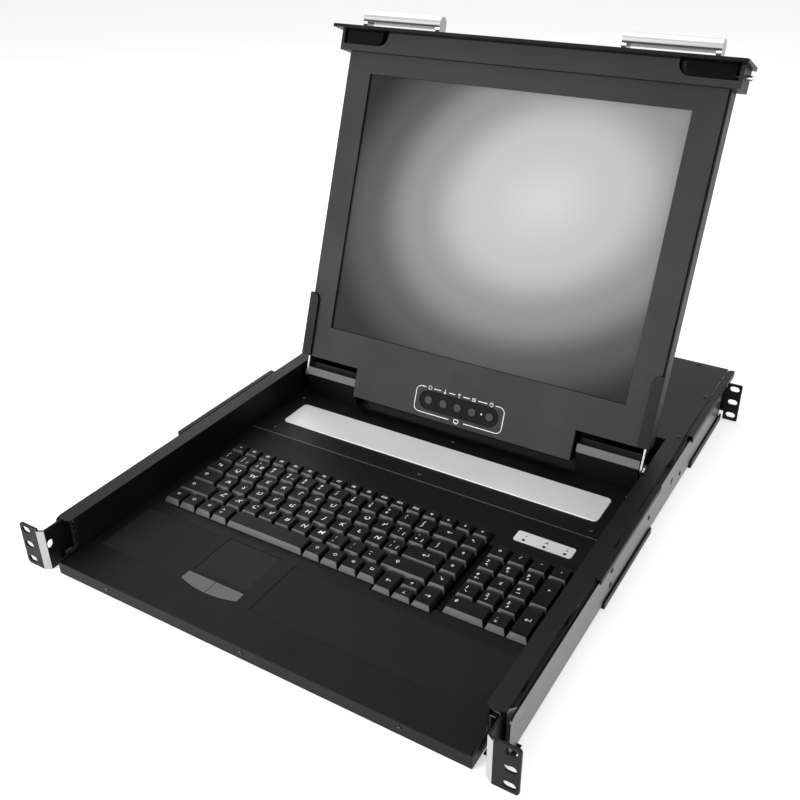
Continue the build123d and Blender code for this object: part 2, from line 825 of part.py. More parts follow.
# Keyboard deck: a moulded panel with a key well, palm rests and touchpad pockets.
deck_half = wall_in - deck_gap
deck_front = tray_front + sheet + 0.2
button_floor = deck_top + touch_rise - touch_thickness - touch_travel - touch_gap
with BuildPart() as keyboard_deck:
    with BuildSketch(Plane.XY.offset(sheet)):
        with Locations((0, (deck_front + deck_rear) / 2)):
            Rectangle(2 * deck_half, deck_rear - deck_front)
    extrude(amount=deck_top - sheet)
    block(
        (-deck_half + deck_skirt, deck_front + deck_skirt, 0),
        (deck_half - deck_skirt, deck_rear - deck_skirt, deck_top - deck_plate),
        Mode.SUBTRACT,
    )
    # Key well: the main block, the lower arrow corner and the number pad.
    with BuildSketch(Plane.XY.offset(deck_top)):
        with BuildLine():
            left_x = keys_left - well_margin
            right_x = pad_right + well_margin
            back_y = keys_rear + well_margin
            front_y = keys_front - well_margin
            Polyline(
                (left_x, front_y),
                (left_x, back_y),
                (main_right + well_margin, back_y),
                (main_right + well_margin, keys_front + 5 * row_pitch + well_margin),
                (right_x, keys_front + 5 * row_pitch + well_margin),
                (right_x, front_y),
                (main_right + well_margin, front_y),
                (main_right + well_margin, front_y - arrow_drop),
                (arrows_left - well_margin, front_y - arrow_drop),
                (arrows_left - well_margin, front_y),
                close=True,
            )
        make_face()
    extrude(amount=-deck_plate, mode=Mode.SUBTRACT)
    # Palm rests, sunk by a fraction of a millimetre.
    with BuildSketch(Plane.XY.offset(deck_top)) as palm:
        with BuildLine():
            FilletPolyline(
                (palm_left_edge, palm_front),
                (palm_left_end, palm_front),
                (palm_left_end, palm_rear),
                radius=palm_small_corner,
            )
            Polyline((palm_left_end, palm_rear), (palm_left_edge, palm_rear), (palm_left_edge, palm_front))
        make_face()
        with BuildLine():
            FilletPolyline(
                (palm_right_start, palm_front),
                (palm_right_edge, palm_front),
                (palm_right_edge, palm_rear),
                radius=palm_large_corner,
            )
            Polyline((palm_right_edge, palm_rear), (palm_right_start, palm_rear), (palm_right_start, palm_front))
        make_face()
    extrude(amount=-palm_depth, mode=Mode.SUBTRACT)
    # Touchpad recess and the pocket of the two buttons.
    block(
        (pad_x - pad_width / 2, pad_front, deck_top - pad_recess),
        (pad_x + pad_width / 2, pad_rear, deck_top),
        Mode.SUBTRACT,
    )
    with BuildSketch(Plane.XY.offset(deck_top)):
        with BuildLine():
            half = touch_width / 2
            Polyline((pad_x - half, touch_front), (pad_x - half, touch_rear), (pad_x + half, touch_rear))
            Line((pad_x + half, touch_rear), (pad_x + half, touch_front))
            ThreePointArc(
                (pad_x + half, touch_front),
                (pad_x, touch_front - touch_sag),
                (pad_x - half, touch_front),
            )
        make_face()
    extrude(amount=button_floor - deck_top, mode=Mode.SUBTRACT)
    fillet(keyboard_deck.edges().filter_by(Axis.Z).group_by(Axis.Y)[0], 1.0)
save(keyboard_deck, "keyboard_deck")

with BuildPart() as touchpad:
    with BuildSketch(Plane.XY.offset(deck_top - pad_recess)):
        with Locations((pad_x, (pad_front + pad_rear) / 2)):
            RectangleRounded(pad_width - 2 * touch_gap, pad_rear - pad_front - 2 * touch_gap, 1.5)
    extrude(amount=pad_recess - 0.3)
save(touchpad, "touchpad")


def touch_button(side):
    """Half of the curved button pair: side is -1 for the left one and 1 for the right one."""
    half = touch_width / 2 - touch_gap
    base = deck_top + touch_rise - touch_thickness
    with BuildPart() as button:
        with BuildSketch(Plane.XY.offset(base)):
            with BuildLine():
                top_y = touch_rear - touch_gap
                low_y = touch_front + touch_gap
                Polyline((pad_x - half, low_y), (pad_x - half, top_y), (pad_x + half, top_y))
                Line((pad_x + half, top_y), (pad_x + half, low_y))
                ThreePointArc(
                    (pad_x + half, low_y),
                    (pad_x, low_y - touch_sag),
                    (pad_x - half, low_y),
                )
            make_face()
            with Locations((pad_x - side * touch_width / 2, touch_rear - touch_width / 2)):
                Rectangle(touch_width + touch_gap, touch_width * 2, mode=Mode.SUBTRACT)
        extrude(amount=touch_thickness)
        chamfer(button.faces().sort_by(Axis.Z)[-1].edges(), 0.3)
    return button


save(touch_button(-1), "touch_button_left")
save(touch_button(1), "touch_button_right")

with BuildPart() as status_label:
    with BuildSketch(Plane.XY.offset(deck_top)):
        with Locations((label_x, label_y)):
            RectangleRounded(label_width, label_depth, label_corner)
    extrude(amount=label_sheet)
save(status_label, "status_label")

# Frame of the open lid: s along its height, n out of the screen.
lid_turn = radians(open_angle)
lid_up = Vector(0, cos(lid_turn), sin(lid_turn))
lid_out = Vector(0, -sin(lid_turn), cos(lid_turn))
pivot = Vector(0, front + pivot_back, pivot_height)
pivot_s = screen_shut_back - pivot_back
pivot_n = screen_shut_height - pivot_height
lid_origin = pivot - lid_up * pivot_s - lid_out * pivot_n
lid_side = Plane(origin=lid_origin, x_dir=lid_up, z_dir=(1, 0, 0))


def lid_plane(n):
    """A plane parallel to the screen, n in front of it: its x is X and its y is s."""
    return Plane(origin=lid_origin + lid_out * n, x_dir=(1, 0, 0), z_dir=lid_out)


def lid_outline(half, low, high, inner_half, inner_low):
    """Corners of the lid: a rectangle with a tongue between the hinges."""
    return [
        (-half, high),
        (half, high),
        (half, low),
        (inner_half, low),
        (inner_half, inner_low),
        (-inner_half, inner_low),
        (-inner_half, low),
        (-half, low),
    ]


# Lid shell: an open box with rounded back edges, vents and slots for the hinge leaves.
with BuildPart() as lcd_shell:
    with BuildSketch(lid_plane(-lid_thickness)):
        with BuildLine():
            Polyline(*lid_outline(shell_half, notch_low, box_low, notch_half, lid_low), close=True)
        make_face()
    extrude(amount=lid_thickness - bezel_thickness)
    back_face = lcd_shell.faces().filter_by(Plane(origin=(0, 0, 0), z_dir=lid_out)).sort_by(
        Axis(origin=(0, 0, 0), direction=lid_out)
    )[0]
    back_edges = back_face.edges().filter_by(Axis(origin=(0, 0, 0), direction=lid_up)).sort_by(Axis.X)
    fillet([back_edges[0], back_edges[-1]], shell_edge)
    with BuildSketch(lid_plane(shell_back - lid_thickness)):
        with BuildLine():
            inner_outline = lid_outline(
                shell_half - shell_wall,
                notch_low + shell_wall,
                box_low - shell_wall,
                notch_half - shell_wall,
                lid_low + shell_wall,
            )
            Polyline(*inner_outline, close=True)
        make_face()
    extrude(amount=lid_thickness, mode=Mode.SUBTRACT)
    for side in (-1, 1):
        with BuildSketch(lid_plane(pivot_n - leaf_half - 0.4)):
            with Locations((side * (leaf_x + leaf_sheet / 2), notch_low + shell_wall / 2)):
                Rectangle(leaf_sheet + 0.8, shell_wall * 2)
        extrude(amount=2 * leaf_half + 0.8, mode=Mode.SUBTRACT)
    with BuildSketch(lid_plane(-lid_thickness)):
        for side in (-1, 1):
            with Locations((side * (shell_half - vent_side), screen_height - vent_drop)):
                with GridLocations(11, 0, 8, 1):
                    SlotOverall(vent_length, vent_width, rotation=90)
    extrude(amount=shell_back, mode=Mode.SUBTRACT)
save(lcd_shell, "lcd_shell")

# Bezel: the front plate with the screen window and the button recess.
with BuildPart() as lcd_bezel:
    with BuildSketch(lid_plane(-bezel_thickness)):
        with BuildLine():
            Polyline(*lid_outline(bezel_half, notch_low, box_low, notch_half, lid_low), close=True)
        make_face()
        with Locations((0, screen_height / 2)):
            Rectangle(screen_width, screen_height, mode=Mode.SUBTRACT)
    extrude(amount=bezel_thickness)
    with BuildSketch(lid_plane(0)):
        with Locations((0, osd_s)):
            SlotOverall(osd_recess_width, osd_recess_height)
    extrude(amount=-osd_recess, mode=Mode.SUBTRACT)
    with BuildSketch(lid_plane(0)):
        with Locations(*[(x, osd_s) for x in osd_x]):
            Circle(osd_radius + osd_gap)
    extrude(amount=-bezel_thickness, mode=Mode.SUBTRACT)
save(lcd_bezel, "lcd_bezel")

with BuildPart() as lcd_panel:
    with BuildSketch(lid_plane(-bezel_thickness)):
        with Locations((0, screen_height / 2)):
            Rectangle(screen_width + 2 * panel_margin, screen_height + 2 * panel_margin)
    extrude(amount=-panel_depth)
save(lcd_panel, "lcd_panel")

# Round screen buttons with a rim behind the bezel, over their switch board.
osd_top = -0.1
rim = 0.8
rim_sheet = 0.8
for index, x in enumerate(osd_x):
    with BuildPart() as osd_button:
        with BuildSketch(lid_plane(osd_top)):
            with Locations((x, osd_s)):
                Circle(osd_radius)
        extrude(amount=-bezel_thickness + 0.1 - rim_sheet)
        with BuildSketch(lid_plane(-bezel_thickness - 0.1)):
            with Locations((x, osd_s)):
                Circle(osd_radius + rim)
        extrude(amount=-rim_sheet)
    save(osd_button, f"osd_button_{index + 1}")
board_n = -bezel_thickness - 0.1 - rim_sheet - osd_board_gap
with BuildPart() as osd_board:
    with BuildSketch(lid_plane(board_n)):
        with Locations((0, osd_s)):
            Rectangle(2 * board_half, board_height)
    extrude(amount=-osd_board_sheet)
    with BuildSketch(lid_plane(-bezel_thickness)):
        with Locations((-board_foot_x, osd_s), (board_foot_x, osd_s)):
            Circle(board_foot_radius)
    extrude(amount=board_n + bezel_thickness)
save(osd_board, "osd_board")

# Hinge housings: a steep bevel faces the user above a front that leans back at its foot.
pivot_y = front + pivot_back
base = cover_top
with BuildPart() as hinge_housing:
    with BuildSketch(Plane.YZ.offset(housing_inner_x)):
        with BuildLine():
            Polyline(
                (pivot_y - housing_front + housing_undercut, base),
                (pivot_y + housing_back, base),
                (pivot_y + housing_back, pivot_height + housing_top - housing_back_drop),
                (pivot_y + housing_back - housing_back_bevel, pivot_height + housing_top),
                (pivot_y - housing_front + housing_bevel, pivot_height + housing_top),
                (pivot_y - housing_front, pivot_height + housing_bevel_low),
                close=True,
            )
        make_face()
    extrude(amount=housing_outer_x - housing_inner_x)
    with BuildSketch(Plane.YZ.offset(barrel_inner_x)):
        with Locations((pivot_y, pivot_height)):
            Circle(barrel_radius + barrel_seat)
    extrude(amount=housing_outer_x - barrel_inner_x, mode=Mode.SUBTRACT)
save_pair(hinge_housing, "hinge_housing")

with BuildPart() as hinge_barrels:
    with BuildSketch(Plane.YZ.offset(barrel_inner_x)):
        with Locations((pivot_y, pivot_height)):
            Circle(barrel_radius)
    extrude(amount=housing_outer_x - barrel_inner_x)
    with BuildSketch(Plane.YZ.offset(shaft_inner_x - 1)):
        with Locations((pivot_y, pivot_height)):
            Circle(shaft_radius + shaft_gap)
    extrude(amount=housing_outer_x - shaft_inner_x + 1, mode=Mode.SUBTRACT)
    mirror(about=Plane.YZ)
save(hinge_barrels, "hinge_barrels")

# Hinge arms: a steel leaf with its shaft, nut and the foot that carries the lid.
with BuildPart() as hinge_arm:
    with BuildSketch(lid_side.offset(leaf_x)):
        with Locations((pivot_s, pivot_n)):
            Circle(leaf_half)
        with Locations(((pivot_s + leaf_top) / 2, pivot_n)):
            Rectangle(leaf_top - pivot_s, 2 * leaf_half)
    extrude(amount=leaf_sheet)
    with BuildSketch(lid_side.offset(leaf_x - leaf_foot)):
        with Locations(((notch_low + shell_wall + leaf_top) / 2 + 1, pivot_n + leaf_half - 1)):
            Rectangle(leaf_top - notch_low - shell_wall - 2, 2)
    extrude(amount=leaf_foot)
    with BuildSketch(lid_side.offset(shaft_inner_x)):
        with Locations((pivot_s, pivot_n)):
            Circle(shaft_radius)
    extrude(amount=leaf_x - shaft_inner_x)
    with BuildSketch(lid_side.offset(leaf_x + leaf_sheet)):
        with Locations((pivot_s, pivot_n)):
            RegularPolygon(nut_radius, 6)
    extrude(amount=nut_height)
save_pair(hinge_arm, "hinge_arm")

# Caps over the arms, proud of the bezel at its lower corners.
with BuildPart() as arm_caps:
    with BuildSketch(lid_plane(0)):
        with BuildLine():
            cap_radius = 8.0
            Polyline(
                (cap_inner_x, cap_high - cap_radius),
                (cap_inner_x, cap_low),
                (cap_outer_x, cap_low),
                (cap_outer_x, cap_high),
                (cap_inner_x + cap_radius, cap_high),
            )
            RadiusArc(
                (cap_inner_x + cap_radius, cap_high),
                (cap_inner_x, cap_high - cap_radius),
                -cap_radius,
            )
        make_face()
    extrude(amount=cap_thickness)
    mirror(about=Plane.YZ)
save(arm_caps, "arm_caps")

# Front box: the beam behind the front panel, with a pocket and a pin channel at each end.
with BuildPart() as fascia_box:
    with BuildSketch(lid_plane(-lid_thickness)):
        with Locations((0, (box_low + box_high) / 2)):
            Rectangle(2 * box_half, box_high - box_low)
    extrude(amount=lid_thickness + box_proud)
    for side in (-1, 1):
        with BuildSketch(lid_plane(box_proud)):
            with BuildLine():
                corner = 11.0
                Polyline(
                    (side * latch_pocket_inner, box_high),
                    (side * latch_pocket_outer, box_high),
                    (side * latch_pocket_outer, latch_pocket_low),
                    (side * (latch_pocket_inner + corner), latch_pocket_low),
                )
                RadiusArc(
                    (side * (latch_pocket_inner + corner), latch_pocket_low),
                    (side * latch_pocket_inner, latch_pocket_low + corner),
                    side * corner,
                )
                Line(
                    (side * latch_pocket_inner, latch_pocket_low + corner),
                    (side * latch_pocket_inner, box_high),
                )
            make_face()
        extrude(amount=-box_proud, mode=Mode.SUBTRACT)
        with BuildSketch(lid_plane(0)):
            with Locations((side * (latch_pocket_outer + latch_pin_tail - 11) / 2, latch_s)):
                Rectangle(latch_pocket_outer - latch_pin_tail + 11, 2 * latch_pin_radius + 1.2)
        extrude(amount=latch_n - latch_pin_radius - 0.6, mode=Mode.SUBTRACT)
    with BuildSketch(lid_side.offset(-box_half)):
        with Locations((latch_s, latch_n)):
            Circle(latch_pin_radius + latch_pin_gap)
    extrude(amount=2 * box_half, mode=Mode.SUBTRACT)
save(fascia_box, "fascia_box")

with BuildPart() as fascia_plate:
    with BuildSketch(lid_side.offset(-plate_half)):
        with Locations((box_high + plate_thickness / 2, (plate_front - plate_back) / 2)):
            Rectangle(plate_thickness, plate_front + plate_back)
    extrude(amount=2 * plate_half)
    fillet(fascia_plate.edges().filter_by(Axis(origin=(0, 0, 0), direction=lid_up)), 2.0)
save(fascia_plate, "fascia_plate")

# Latches: a finger tab and a pin that looks out of the end of the box.
with BuildPart() as latch:
    with BuildSketch(lid_side.offset(latch_pin_tail)):
        with Locations((latch_s, latch_n)):
            Circle(latch_pin_radius)
    extrude(amount=latch_pin_tip - latch_pin_tail)
    tip_edge = latch.edges().filter_by(GeomType.CIRCLE).sort_by(Axis.X)[-1]
    chamfer(tip_edge, 0.7)
    with BuildSketch(lid_plane(latch_n)):
        with Locations((latch_pin_tail + 3, latch_s)):
            Rectangle(6, 2 * latch_pin_radius)
    extrude(amount=0.5 - latch_n)
    with BuildSketch(lid_plane(0.4)):
        with Locations(((latch_tab_inner + latch_tab_outer) / 2, (latch_pocket_low + box_high) / 2)):
            RectangleRounded(latch_tab_outer - latch_tab_inner, box_high - latch_pocket_low - 2, 3)
    extrude(amount=2.6)
    with BuildSketch(lid_plane(3.0)):
        with Locations(*[(latch_tab_inner + 7 + 4 * step, (latch_pocket_low + box_high) / 2) for step in range(4)]):
            Rectangle(1.6, box_high - latch_pocket_low - 6)
    extrude(amount=1.6)
save_pair(latch, "latch")

# Handles: an oval bar cut away behind the grip, so that two legs stand on the panel.
with BuildPart() as handle:
    foot = box_high + plate_thickness
    centre_n = screen_shut_height - unit_height / 2
    with BuildSketch(lid_side.offset(handle_inner_x)):
        with Locations((foot + handle_reach / 2, centre_n)):
            SlotOverall(handle_reach, 2 * handle_half_height)
        with Locations((foot + handle_reach / 4, centre_n)):
            Rectangle(handle_reach / 2, 1.3 * handle_half_height)
    extrude(amount=handle_outer_x - handle_inner_x)
    with BuildSketch(lid_side.offset(handle_inner_x + handle_leg)):
        with Locations((foot + handle_gap / 2, centre_n)):
            Rectangle(handle_gap, 3 * handle_half_height)
    extrude(amount=handle_outer_x - handle_inner_x - 2 * handle_leg, mode=Mode.SUBTRACT)
save_pair(handle, "handle")
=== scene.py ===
# %% [markdown]
# # Dressing a rack console drawer
# The object is a flat drawer for an equipment rack. It holds a keyboard with a
# touchpad, and a screen that folds up out of it on two friction hinges. The solids
# were drawn beforehand and packed with their joints. This lesson gives them their
# finishes and adds what is too fine for the solids: real keycaps with their
# markings, screws, lamps, printed lines and small trim.
#
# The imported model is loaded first, because every piece is placed in its frame:
# metres, X to the right, Y to the rear, Z up, with the origin under the middle.

# %% Load the frame
import math

import bmesh
import bpy
from mathutils import Matrix, Vector


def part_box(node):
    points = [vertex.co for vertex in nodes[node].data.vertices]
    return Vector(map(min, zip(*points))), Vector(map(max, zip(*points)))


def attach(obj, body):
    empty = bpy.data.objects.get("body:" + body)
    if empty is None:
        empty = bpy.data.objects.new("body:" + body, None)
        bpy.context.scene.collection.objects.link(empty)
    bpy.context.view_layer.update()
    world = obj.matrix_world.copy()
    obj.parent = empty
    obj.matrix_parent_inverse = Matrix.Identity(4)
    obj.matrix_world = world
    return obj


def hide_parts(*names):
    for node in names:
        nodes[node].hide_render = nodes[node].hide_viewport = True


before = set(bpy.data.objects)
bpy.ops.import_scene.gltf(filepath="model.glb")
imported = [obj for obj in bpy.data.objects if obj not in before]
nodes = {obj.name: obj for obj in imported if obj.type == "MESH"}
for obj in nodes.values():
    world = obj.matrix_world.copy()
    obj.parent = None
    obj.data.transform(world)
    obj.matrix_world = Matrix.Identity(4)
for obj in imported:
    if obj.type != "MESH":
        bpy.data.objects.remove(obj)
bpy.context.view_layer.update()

# %% [markdown]
# ## The camera
# The photograph was taken from the front right, well above the drawer. Its lens and
# place were worked out from straight edges of known size: the key pitch, the rack
# slots and the corners of the screen. A camera is one matrix, so it is written as
# one: its right, its up and its backward direction, and then its place.

# %% Camera
lens_mm = 43.09
turn = math.radians(31.67)
tilt = math.radians(29.91)
roll = math.radians(-0.82)
camera_place = Vector((0.3965, -0.6909, 0.5474))

backward = Vector((math.sin(turn) * math.cos(tilt), -math.cos(turn) * math.cos(tilt), math.sin(tilt)))
level_right = (-backward).cross(Vector((0, 0, 1))).normalized()
level_up = level_right.cross(-backward)
right = math.cos(roll) * level_right + math.sin(roll) * level_up
upward = -math.sin(roll) * level_right + math.cos(roll) * level_up

camera_data = bpy.data.cameras.new("camera")
camera_data.lens = lens_mm
camera_data.sensor_width = 36
camera_data.clip_start = 0.01
camera = bpy.data.objects.new("camera", camera_data)
bpy.context.scene.collection.objects.link(camera)
pose = Matrix((right, upward, backward)).transposed().to_4x4()
pose.translation = camera_place
camera.matrix_world = pose
bpy.context.scene.camera = camera

# %% [markdown]
# ## Light and background
# Black paint has hardly any colour of its own: what the eye sees is the room in it.
# So the room is a white one, seen white by the camera and by anything that reflects,
# while the light that it sheds is kept at a plain level. Four soft panels give the
# sheets their edges and light the front slopes of the keys, which also carry a
# painted highlight in their colour.

# %% World
scene = bpy.context.scene
scene.view_settings.view_transform = "Standard"
world = bpy.data.worlds.new("white_room")
scene.world = world
world.use_nodes = True
sky = world.node_tree
sky.nodes.clear()
sky_out = sky.nodes.new("ShaderNodeOutputWorld")
sky_mix = sky.nodes.new("ShaderNodeMixShader")
sky_seen = sky.nodes.new("ShaderNodeBackground")
sky_seen.inputs["Strength"].default_value = 1.0
sky_seen.inputs["Color"].default_value = (1, 1, 1, 1)
sky_shed = sky.nodes.new("ShaderNodeBackground")
sky_shed.inputs["Strength"].default_value = 0.4
sky_shed.inputs["Color"].default_value = (1, 1, 1, 1)


def feed(tree, socket, value):
    """Links a socket to another one, or sets it to a constant."""
    if isinstance(value, bpy.types.NodeSocket):
        tree.links.new(value, socket)
    else:
        socket.default_value = value


def maths(tree, operation, *values):
    """Arithmetic on sockets and numbers."""
    node = tree.nodes.new("ShaderNodeMath")
    node.operation = operation
    for socket, value in zip(node.inputs, values):
        feed(tree, socket, value)
    return node.outputs[0]


def seen_directly(tree):
    """One for camera, glossy and transmission rays, and zero for the rays that shed light."""
    path = tree.nodes.new("ShaderNodeLightPath")
    camera_or_gloss = maths(tree, "MAXIMUM", path.outputs["Is Camera Ray"], path.outputs["Is Glossy Ray"])
    return maths(tree, "MAXIMUM", camera_or_gloss, path.outputs["Is Transmission Ray"])


sky.links.new(seen_directly(sky), sky_mix.inputs[0])
sky.links.new(sky_shed.outputs[0], sky_mix.inputs[1])
sky.links.new(sky_seen.outputs[0], sky_mix.inputs[2])
sky.links.new(sky_mix.outputs[0], sky_out.inputs["Surface"])
print("world strengths:", [node.inputs["Strength"].default_value for node in (sky_seen, sky_shed)])

# %% Soft panels


def soft_panel(name, place, aim, size, watts):
    """A rectangular area lamp at a place, turned towards a point."""
    data = bpy.data.lights.new(name, "AREA")
    data.shape = "RECTANGLE"
    data.size, data.size_y = size
    data.energy = watts
    lamp = bpy.data.objects.new(name, data)
    bpy.context.scene.collection.objects.link(lamp)
    lamp.location = place
    lamp.rotation_euler = (Vector(aim) - Vector(place)).to_track_quat("-Z", "Y").to_euler()
    return lamp


front_panel = soft_panel("front_panel", (-0.9, -1.9, 0.7), (0, 0, 0.1), (1.4, 0.8), 40)
right_panel = soft_panel("right_panel", (1.9, -0.2, 0.9), (0, 0, 0.05), (1.2, 0.8), 10)
top_panel = soft_panel("top_panel", (-0.5, 0.3, 2.0), (0, 0, 0.1), (1.6, 1.6), 11)
rear_panel = soft_panel("rear_panel", (-1.3, 1.4, 1.1), (0, 0, 0.05), (0.9, 0.9), 3)
print("panels, W:", [lamp.data.energy for lamp in (front_panel, right_panel, top_panel, rear_panel)])

# %% Floor


def floor_finish():
    """White to the eye, with the object's soft shadow kept on it."""
    material = bpy.data.materials.new("studio_floor")
    material.use_nodes = True
    tree = material.node_tree
    tree.nodes.clear()
    out = tree.nodes.new("ShaderNodeOutputMaterial")
    paint = tree.nodes.new("ShaderNodeBsdfDiffuse")
    paint.inputs["Color"].default_value = (0.86, 0.86, 0.86, 1)
    glow = tree.nodes.new("ShaderNodeEmission")
    glow.inputs["Color"].default_value = (1, 1, 1, 1)
    tree.links.new(maths(tree, "MULTIPLY", seen_directly(tree), 0.55), glow.inputs["Strength"])
    both = tree.nodes.new("ShaderNodeAddShader")
    tree.links.new(paint.outputs[0], both.inputs[0])
    tree.links.new(glow.outputs[0], both.inputs[1])
    tree.links.new(both.outputs[0], out.inputs["Surface"])
    return material


floor_mesh = bpy.data.meshes.new("floor")
reach = 8.0
floor_mesh.from_pydata(
    [(-reach, -reach, -0.0005), (reach, -reach, -0.0005), (reach, reach, -0.0005), (-reach, reach, -0.0005)],
    [],
    [(0, 1, 2, 3)],
)
floor = bpy.data.objects.new("floor", floor_mesh)
bpy.context.scene.collection.objects.link(floor)
floor.data.materials.append(floor_finish())
print("floor half width, m:", reach)

# %% [markdown]
# ## Finishes
# Nearly every part of the drawer is black, yet no two blacks are alike. The powder
# coat on the sheets has a fine orange-peel skin; the keyboard deck is moulded with a
# spark-eroded grain; the caps are smoother. One recipe covers them: a base colour
# that drifts a little, a roughness that drifts with it, and a bump from fine noise.
# The Bevel node rounds the sharp edges of folded sheet for the light alone, so that
# they catch the thin bright lines that a real bent edge has.

# %% Recipe for paint and moulded plastic


def noise(tree, place, scale, detail=2.0, rough=0.5):
    """A noise texture on the given coordinates."""
    node = tree.nodes.new("ShaderNodeTexNoise")
    for name, value in (("Scale", scale), ("Detail", detail), ("Roughness", rough), ("Vector", place)):
        feed(tree, node.inputs[name], value)
    return node


def remapped(tree, source, start, end, low=0.0, high=1.0):
    """Goes from low to high while the source goes from start to end."""
    node = tree.nodes.new("ShaderNodeMapRange")
    for socket, value in zip(node.inputs, (source, start, end, low, high)):
        feed(tree, socket, value)
    return node.outputs["Result"]


def spread(tree, source, low, high):
    """Maps the middle of a noise to a range of values."""
    return remapped(tree, source, 0.3, 0.7, low, high)


def vectors(tree, operation, *values):
    """Arithmetic on vectors. A length and a dot product give a number."""
    node = tree.nodes.new("ShaderNodeVectorMath")
    node.operation = operation
    for socket, value in zip(node.inputs, values):
        feed(tree, socket, value)
    return node.outputs["Value" if operation in ("LENGTH", "DOT_PRODUCT") else "Vector"]


def blend(tree, first, second, share, kind="MIX"):
    """A mix of two colours; each of the three is a constant or a socket."""
    node = tree.nodes.new("ShaderNodeMix")
    node.data_type = "RGBA"
    node.blend_type = kind
    for place, value in ((0, share), (6, first), (7, second)):
        feed(tree, node.inputs[place], value)
    return node.outputs[2]


def grained(tree, height, bump, distance, edge):
    """Bump from a noise, on a normal that the Bevel node rounds at the edges."""
    relief = tree.nodes.new("ShaderNodeBump")
    relief.inputs["Strength"].default_value = bump
    relief.inputs["Distance"].default_value = distance
    tree.links.new(height, relief.inputs["Height"])
    if edge:
        rounding = tree.nodes.new("ShaderNodeBevel")
        rounding.samples = 4
        rounding.inputs["Radius"].default_value = edge
        tree.links.new(rounding.outputs[0], relief.inputs["Normal"])
    tree.links.new(relief.outputs[0], tree.nodes["Principled BSDF"].inputs["Normal"])


def new_finish(name, metallic):
    """An empty finish: the material, its tree, its shader and its own coordinates."""
    material = bpy.data.materials.new(name)
    material.use_nodes = True
    tree = material.node_tree
    skin = tree.nodes["Principled BSDF"]
    skin.inputs["Metallic"].default_value = metallic
    return material, tree, skin, coordinates(material, "Object")


def coordinates(material, kind):
    """The piece's own coordinates, or its own normal."""
    return material.node_tree.nodes.new("ShaderNodeTexCoord").outputs[kind]


def coated(name, shade, rough, grain=900, bump=0.04, specular=0.5, tint=(1, 1, 1), edge=0.0004):
    """Paint or moulded plastic with a fine grain, drifting gloss and softened edges."""
    material, tree, skin, place = new_finish(name, 0.0)
    skin.inputs["Specular IOR Level"].default_value = specular
    fine = noise(tree, place, grain, 3.0, 0.6).outputs["Fac"]
    broad = noise(tree, place, 14, 3.0, 0.55).outputs["Fac"]
    darker = [shade * 0.82 * t for t in tint] + [1]
    lighter = [shade * 1.2 * t for t in tint] + [1]
    both = maths(tree, "MULTIPLY_ADD", fine, 0.5, maths(tree, "MULTIPLY", broad, 0.5))
    tree.links.new(blend(tree, darker, lighter, both), skin.inputs["Base Color"])
    tree.links.new(spread(tree, broad, rough - 0.05, rough + 0.06), skin.inputs["Roughness"])
    grained(tree, fine, bump, 0.0004, edge)
    return material


powder_black = coated("powder_black", 0.003, 0.42, grain=1400, bump=0.25, specular=0.18, edge=0.0006)
front_black = coated("front_black", 0.003, 0.38, grain=1500, bump=0.2, specular=0.12, edge=0.0005)
deck_black = coated("deck_black", 0.002, 0.46, grain=2200, bump=0.35, specular=0.13, edge=0.0005)
button_grey = coated("button_grey", 0.1, 0.5, grain=2600, bump=0.25, specular=0.4, edge=0.0003)
osd_black = coated("osd_black", 0.012, 0.45, grain=2600, bump=0.2, specular=0.3, edge=0.0003)
key_black = coated("key_black", 0.003, 0.42, grain=3200, bump=0.2, specular=0.12, edge=0)
gloss_black = coated("gloss_black", 0.0015, 0.3, grain=1200, bump=0.05, specular=0.05)
touchpad_black = coated("touchpad_black", 0.004, 0.46, grain=3000, bump=0.1, specular=0.14, edge=0.0003)
board_green = coated("board_green", 0.05, 0.5, grain=900, bump=0.1, tint=(0.3, 1, 0.5))
label_grey = coated("label_grey", 0.72, 0.45, grain=2600, bump=0.1, edge=0.0003)
print_white = coated("print_white", 0.85, 0.5, grain=2600, bump=0.05, edge=0)
print_dark = coated("print_dark", 0.03, 0.5, grain=2600, bump=0.05, edge=0)
print("black finishes:", [m.name for m in bpy.data.materials if "black" in m.name])

# %% [markdown]
# ## Metal
# Rolled zinc-plated steel, brushed aluminium and the satin plating of the handles
# differ in the direction of their marks. Stretching a noise along one axis turns its
# spots into streaks, so one recipe makes all of them: a stretch for each axis, a
# range of roughness and a colour.

# %% Recipe for metal


def drawn_metal(
    name, colour, rough, stretch=(1, 1, 1), scale=400, bump=0.05, drift=0.06, edge=0.0004, metallic=1.0,
):
    """Bare or plated metal whose marks run along the axis with the smallest stretch."""
    material, tree, skin, place = new_finish(name, metallic)
    run = tree.nodes.new("ShaderNodeMapping")
    run.inputs["Scale"].default_value = stretch
    tree.links.new(place, run.inputs["Vector"])
    streak = noise(tree, run.outputs[0], scale, 4.0, 0.65).outputs["Fac"]
    cloud = noise(tree, place, 9, 2.0, 0.5).outputs["Fac"]
    halved = maths(tree, "MULTIPLY", maths(tree, "ADD", streak, cloud), 0.5)
    darker = [c * (1 - drift) for c in colour] + [1]
    lighter = [min(1, c * (1 + drift)) for c in colour] + [1]
    shade = blend(tree, darker, lighter, spread(tree, halved, 0, 1))
    tree.links.new(shade, skin.inputs["Base Color"])
    tree.links.new(spread(tree, cloud, rough - 0.04, rough + 0.05), skin.inputs["Roughness"])
    grained(tree, streak, bump, 0.0002, edge)
    return material


